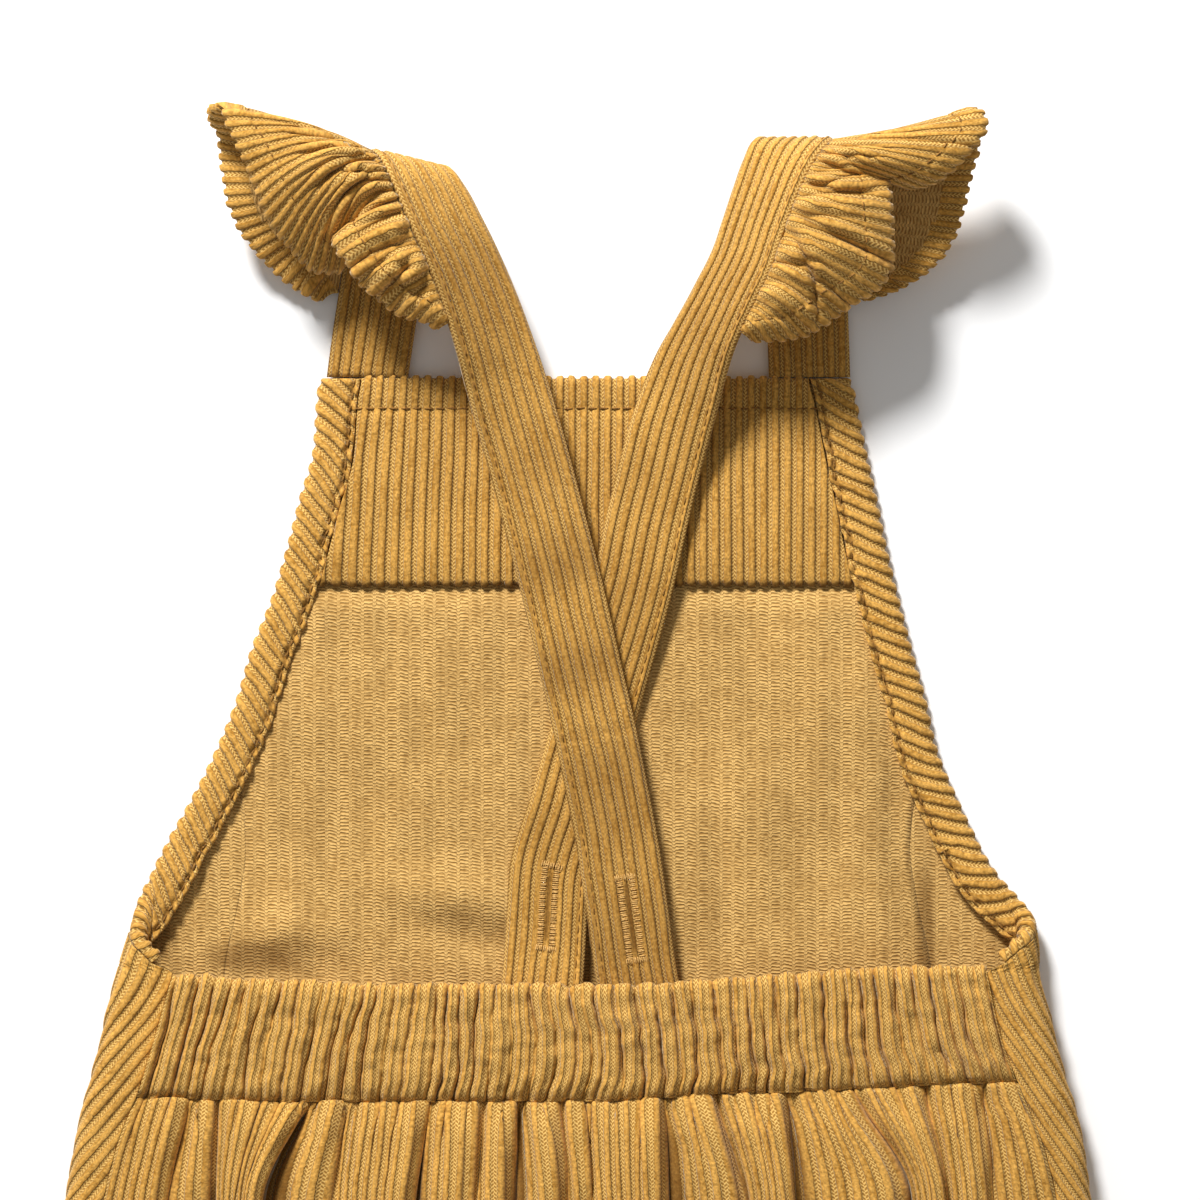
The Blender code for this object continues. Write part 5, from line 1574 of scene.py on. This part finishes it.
def wrong_side_look(tones):
    """The flat woven inside: columns of short slanted threads, and faint lines between them."""
    look = Look("wrong_side", Roughness=0.95, Specular_IOR_Level=0.10, Sheen_Weight=0.12,
                Sheen_Roughness=0.5, Sheen_Tint=(1.0, 0.9, 0.7, 1.0))
    u, v, crease = look.wales()
    place = look.place(u, v)
    sway = look.speckle(place, 0.8) - 0.5
    slub = look.speckle(look.place(u * 2.2, v * 5.2))
    # Columns of level dashes and of slanted ones take turns, with a narrow strip between them.
    column = u + sway * 0.12
    slanted = (column * 0.5).part().step(0.49, 0.51)
    slant = (column.part() - 0.5) * (0.12 + slanted * 0.75)
    strip = abs(column.part() * 2 - 1).step(0.66, 0.84)
    clear = look.speckle(place, 0.42).step(0.36, 0.66)
    moved = slant + slanted * 0.45 + strip * 0.5
    dash = (v * 3.5 + moved + sway * 0.8 + (slub - 0.5) * 0.9).wave()
    rib_line = (u + sway * 0.3).wave() ** 6 * look.speckle(place, 0.45).step(0.35, 0.65)
    broad = look.speckle(look.place(u * 0.55, v * 0.06))
    light = dash * (0.36 + clear * 0.22 - strip * 0.24) + strip * 0.18 + slub * 0.72 - 0.11
    light = light.step(0.08, 0.88)
    colour = look.mix(light, tones["wrong_deep"], tones["wrong"])
    colour = look.shaded(colour, 1.0 - rib_line * 0.12 + (broad - 0.5) * 0.34)
    # Painted shade: hollows and shadows marked by the shade value take the crease colour.
    colour = look.mix(crease.step(0.0, 1.0) * 0.6, colour, tones["crease"])
    return look.finish(colour, light, 0.00018)


def thread_look(name, light, deep):
    """Twisted sewing thread."""
    look = Look(name, Roughness=0.75, Specular_IOR_Level=0.25)
    twist = look.speckled(2600.0, 1.0)
    return look.finish(look.mix(twist.step(0.3, 0.7), deep, light), twist, 0.00005)


def plain_look(name, colour, roughness, metallic=0.0):
    """An even material with slight wear."""
    look = Look(name, Roughness=roughness, Metallic=metallic)
    wear_and_shade = look.speckled(420.0, 3.0)
    return look.finish(look.shaded(colour, 0.9 + wear_and_shade * 0.2), wear_and_shade, 0.00002)


LOOKS = {}


def looks_of(context):
    """Every look of the garment, made the first time it is asked for."""
    if not LOOKS:
        group = context.scene.bodysuit_colours
        tones = {key: colour_of(getattr(group, key)) for key in group.__annotations__}
        LOOKS.update(
            corduroy=corduroy_look(tones),
            wrong=wrong_side_look(tones),
            thread=thread_look("thread", tones["thread"], tones["thread_deep"]),
            # The seam thread's dark colours are partly painted shade of its pinched rows of
            # stitches.
            seam=thread_look("seam_thread", tones["seam"], tones["seam_deep"]),
            horn=plain_look("horn", tones["button"], 0.35),
            steel=plain_look("steel", tones["snap"], 0.3, 1.0))
    return LOOKS


# ---------------------------------------------------------------- stage

def make_stage(colours):
    """A plain pale floor, a soft key light from the upper left, and the camera straight above."""
    corners = [(x * FLOOR_HALF, y * FLOOR_HALF, FLOOR_LEVEL)
               for x, y in ((-1, -1), (1, -1), (1, 1), (-1, 1))]
    floor = plain_mesh("floor", corners, [(0, 1, 2, 3)], [])
    look = Look("floor", Roughness=0.9, Specular_IOR_Level=0.0)
    look.shader.inputs["Base Color"].default_value = colour_of(colours.floor)
    floor.data.materials.append(look.material)
    key = bpy.data.lights.new("key", "AREA")
    key.shape, key.size, key.energy = "DISK", KEY_SIZE, KEY_ENERGY
    key_lamp = bpy.data.objects.new("key", key)
    key_lamp.location = KEY_PLACE
    aim = Vector(KEY_AIM) - Vector(KEY_PLACE)
    key_lamp.rotation_euler = aim.to_track_quat("-Z", "Y").to_euler()
    scene = bpy.context.scene
    scene.collection.objects.link(key_lamp)
    world = bpy.data.worlds.new("soft room")
    world.use_nodes = True
    room = world.node_tree.nodes["Background"].inputs
    room["Color"].default_value, room["Strength"].default_value = ROOM_COLOUR, ROOM_LIGHT
    scene.world = world
    lens = bpy.data.cameras.new("camera")
    lens.sensor_width = SENSOR
    lens.lens = SENSOR * (CAMERA_HEIGHT - GARMENT_LEVEL) / FRAME_WIDTH
    lens.clip_start, lens.clip_end = 0.05, 20.0
    camera = bpy.data.objects.new("camera", lens)
    camera.location = (*FRAME_CENTRE, CAMERA_HEIGHT)
    scene.collection.objects.link(camera)
    scene.camera = camera
    scene.view_settings.view_transform = "Standard"


# ---------------------------------------------------------------- settings

def measure(name, description, default, low, high):
    """A length that a user can set, in metres."""
    return FloatProperty(name=name, description=description, default=default, min=low, max=high,
                         precision=5, unit="LENGTH")


def tone(name, description, default):
    """A colour that a user can set."""
    return FloatVectorProperty(name=name, description=description, default=default, size=3,
                               min=0.0, max=1.0, subtype="COLOR")


class BodysuitSizes(bpy.types.PropertyGroup):
    """Sizes of the cloth's ribs and of the sewing."""

    wale_pitch: measure("Wale pitch", "From ridge to ridge of the corduroy",
                        0.003, 0.0015, 0.006)
    wale_rise: measure("Wale rise", "Height of a ridge of pile over the ground",
                       0.0006, 0.0, 0.0015)
    stitch_pitch: measure("Stitch pitch", "From one stitch to the next",
                          0.0029, 0.001, 0.006)
    stitch_length: measure("Stitch length", "Length of the thread that shows",
                           0.0024, 0.0005, 0.006)
    thread_radius: measure("Thread radius", "Half the thickness of the thread",
                           0.0003, 0.0001, 0.001)
    stitch_sway: measure("Stitch sway", "How far stitches stray from their row",
                         0.00012, 0.0, 0.001)


class BodysuitColours(bpy.types.PropertyGroup):
    """Colours of the cloth, thread, fastenings and floor."""

    # Painted light and shade: the pile colour lights the ridges' middles and the deep pile colour
    # shades their flanks.
    pile: tone("Pile", "Tips of the pile", (0.600, 0.322, 0.070))
    pile_deep: tone("Deep pile", "Pile on the flanks of the ridges", (0.350, 0.162, 0.023))
    ground: tone("Ground", "Woven ground between the ridges", (0.735, 0.462, 0.138))
    ground_deep: tone("Deep ground", "Gaps in the woven ground", (0.330, 0.158, 0.029))
    wrong: tone("Wrong side", "Threads of the woven inside", (0.735, 0.460, 0.158))
    wrong_deep: tone("Deep wrong side", "Gaps in the woven inside", (0.285, 0.143, 0.033))
    # Painted shade: the darkest colour that creases, hollows and shadows are mixed towards.
    crease: tone("Creases", "Cloth deep in a crease", (0.110, 0.042, 0.006))
    thread: tone("Thread", "Sewing thread", (0.720, 0.440, 0.150))
    thread_deep: tone("Thread's shade", "Sewing thread between its turns", (0.400, 0.210, 0.050))
    # Partly painted shade: the seam thread is dark to stand for the shade of the pinched rows of
    # stitches it lies in.
    seam: tone("Seam thread", "Thread of the seams, sunk in the pile", (0.330, 0.162, 0.033))
    seam_deep: tone("Seam thread's shade", "Seam thread between its turns", (0.130, 0.056, 0.010))
    button: tone("Buttons", "The straps' buttons", (0.240, 0.130, 0.055))
    snap: tone("Snaps", "The crotch snaps", (0.620, 0.600, 0.560))
    floor: tone("Floor", "The surface the garment lies on", (0.93, 0.93, 0.93))


def build(make, context):
    """Makes one piece with the sizes and looks that are set."""
    make(context.scene.bodysuit_sizes, looks_of(context))
    return {"FINISHED"}


class BODYSUIT_OT_front_panel(bpy.types.Operator):
    """Make the bib and lower front in one panel, face down"""

    bl_idname = "bodysuit.front_panel"
    bl_label = "Front panel"

    def execute(self, context):
        return build(make_front_panel, context)


class BODYSUIT_OT_side_panels(bpy.types.Operator):
    """Make the two bias panels that turn up round the side folds"""

    bl_idname = "bodysuit.side_panels"
    bl_label = "Side panels"

    def execute(self, context):
        return build(make_side_panels, context)


class BODYSUIT_OT_bib_facing(bpy.types.Operator):
    """Make the corduroy facing inside the bib, with its row of stitches"""

    bl_idname = "bodysuit.bib_facing"
    bl_label = "Bib facing"

    def execute(self, context):
        return build(make_bib_facing, context)


class BODYSUIT_OT_armhole_bindings(bpy.types.Operator):
    """Make the bias strips that bind the armholes"""

    bl_idname = "bodysuit.armhole_bindings"
    bl_label = "Armhole bindings"

    def execute(self, context):
        return build(make_armhole_bindings, context)


class BODYSUIT_OT_waist_casing(bpy.types.Operator):
    """Make the gathered casing that holds the waist elastic"""

    bl_idname = "bodysuit.waist_casing"
    bl_label = "Waist casing"

    def execute(self, context):
        return build(make_waist_casing, context)


class BODYSUIT_OT_back_panel(bpy.types.Operator):
    """Make the gathered back with its folds"""

    bl_idname = "bodysuit.back_panel"
    bl_label = "Back panel"

    def execute(self, context):
        return build(make_back_panel, context)


class BODYSUIT_OT_straps(bpy.types.Operator):
    """Make the crossed straps with their buttonholes"""

    bl_idname = "bodysuit.straps"
    bl_label = "Straps"

    def execute(self, context):
        return build(make_straps, context)


class BODYSUIT_OT_ruffles(bpy.types.Operator):
    """Make the gathered shoulder ruffles"""

    bl_idname = "bodysuit.ruffles"
    bl_label = "Ruffles"

    def execute(self, context):
        return build(make_ruffles, context)


class BODYSUIT_OT_buttons(bpy.types.Operator):
    """Make the straps' buttons inside the casing"""

    bl_idname = "bodysuit.buttons"
    bl_label = "Buttons"

    def execute(self, context):
        return build(make_buttons, context)


class BODYSUIT_OT_snaps(bpy.types.Operator):
    """Make the crotch snaps"""

    bl_idname = "bodysuit.snaps"
    bl_label = "Crotch snaps"

    def execute(self, context):
        return build(make_snaps, context)


class BODYSUIT_OT_stage(bpy.types.Operator):
    """Make the floor, the light and the camera"""

    bl_idname = "bodysuit.stage"
    bl_label = "Stage"

    def execute(self, context):
        make_stage(context.scene.bodysuit_colours)
        return {"FINISHED"}


OPERATORS = (
    BODYSUIT_OT_front_panel, BODYSUIT_OT_side_panels, BODYSUIT_OT_bib_facing,
    BODYSUIT_OT_armhole_bindings, BODYSUIT_OT_waist_casing, BODYSUIT_OT_back_panel,
    BODYSUIT_OT_straps, BODYSUIT_OT_ruffles, BODYSUIT_OT_buttons, BODYSUIT_OT_snaps,
    BODYSUIT_OT_stage,
)


class BODYSUIT_PT_garment(bpy.types.Panel):
    """The garment's sizes, colours and pieces"""

    bl_idname = "BODYSUIT_PT_garment"
    bl_label = "Bodysuit"
    bl_space_type = "VIEW_3D"
    bl_region_type = "UI"
    bl_category = "Bodysuit"

    def draw(self, context):
        for group in (context.scene.bodysuit_sizes, context.scene.bodysuit_colours):
            box = self.layout.box()
            for key in group.__annotations__:
                box.prop(group, key)
        for operator in OPERATORS:
            self.layout.operator(operator.bl_idname)


CLASSES = (BodysuitSizes, BodysuitColours) + OPERATORS + (BODYSUIT_PT_garment,)


def register():
    """Adds the classes and the scene's settings."""
    for item in CLASSES:
        bpy.utils.register_class(item)
    bpy.types.Scene.bodysuit_sizes = PointerProperty(type=BodysuitSizes)
    bpy.types.Scene.bodysuit_colours = PointerProperty(type=BodysuitColours)


def unregister():
    """Takes away what register adds."""
    del bpy.types.Scene.bodysuit_colours
    del bpy.types.Scene.bodysuit_sizes
    for item in reversed(CLASSES):
        bpy.utils.unregister_class(item)


def main():
    """Makes every piece in order."""
    register()
    bpy.ops.bodysuit.front_panel()
    bpy.ops.bodysuit.side_panels()
    bpy.ops.bodysuit.bib_facing()
    bpy.ops.bodysuit.armhole_bindings()
    bpy.ops.bodysuit.waist_casing()
    bpy.ops.bodysuit.back_panel()
    bpy.ops.bodysuit.straps()
    bpy.ops.bodysuit.ruffles()
    bpy.ops.bodysuit.buttons()
    bpy.ops.bodysuit.snaps()
    bpy.ops.bodysuit.stage()


if __name__ == "__main__":
    main()
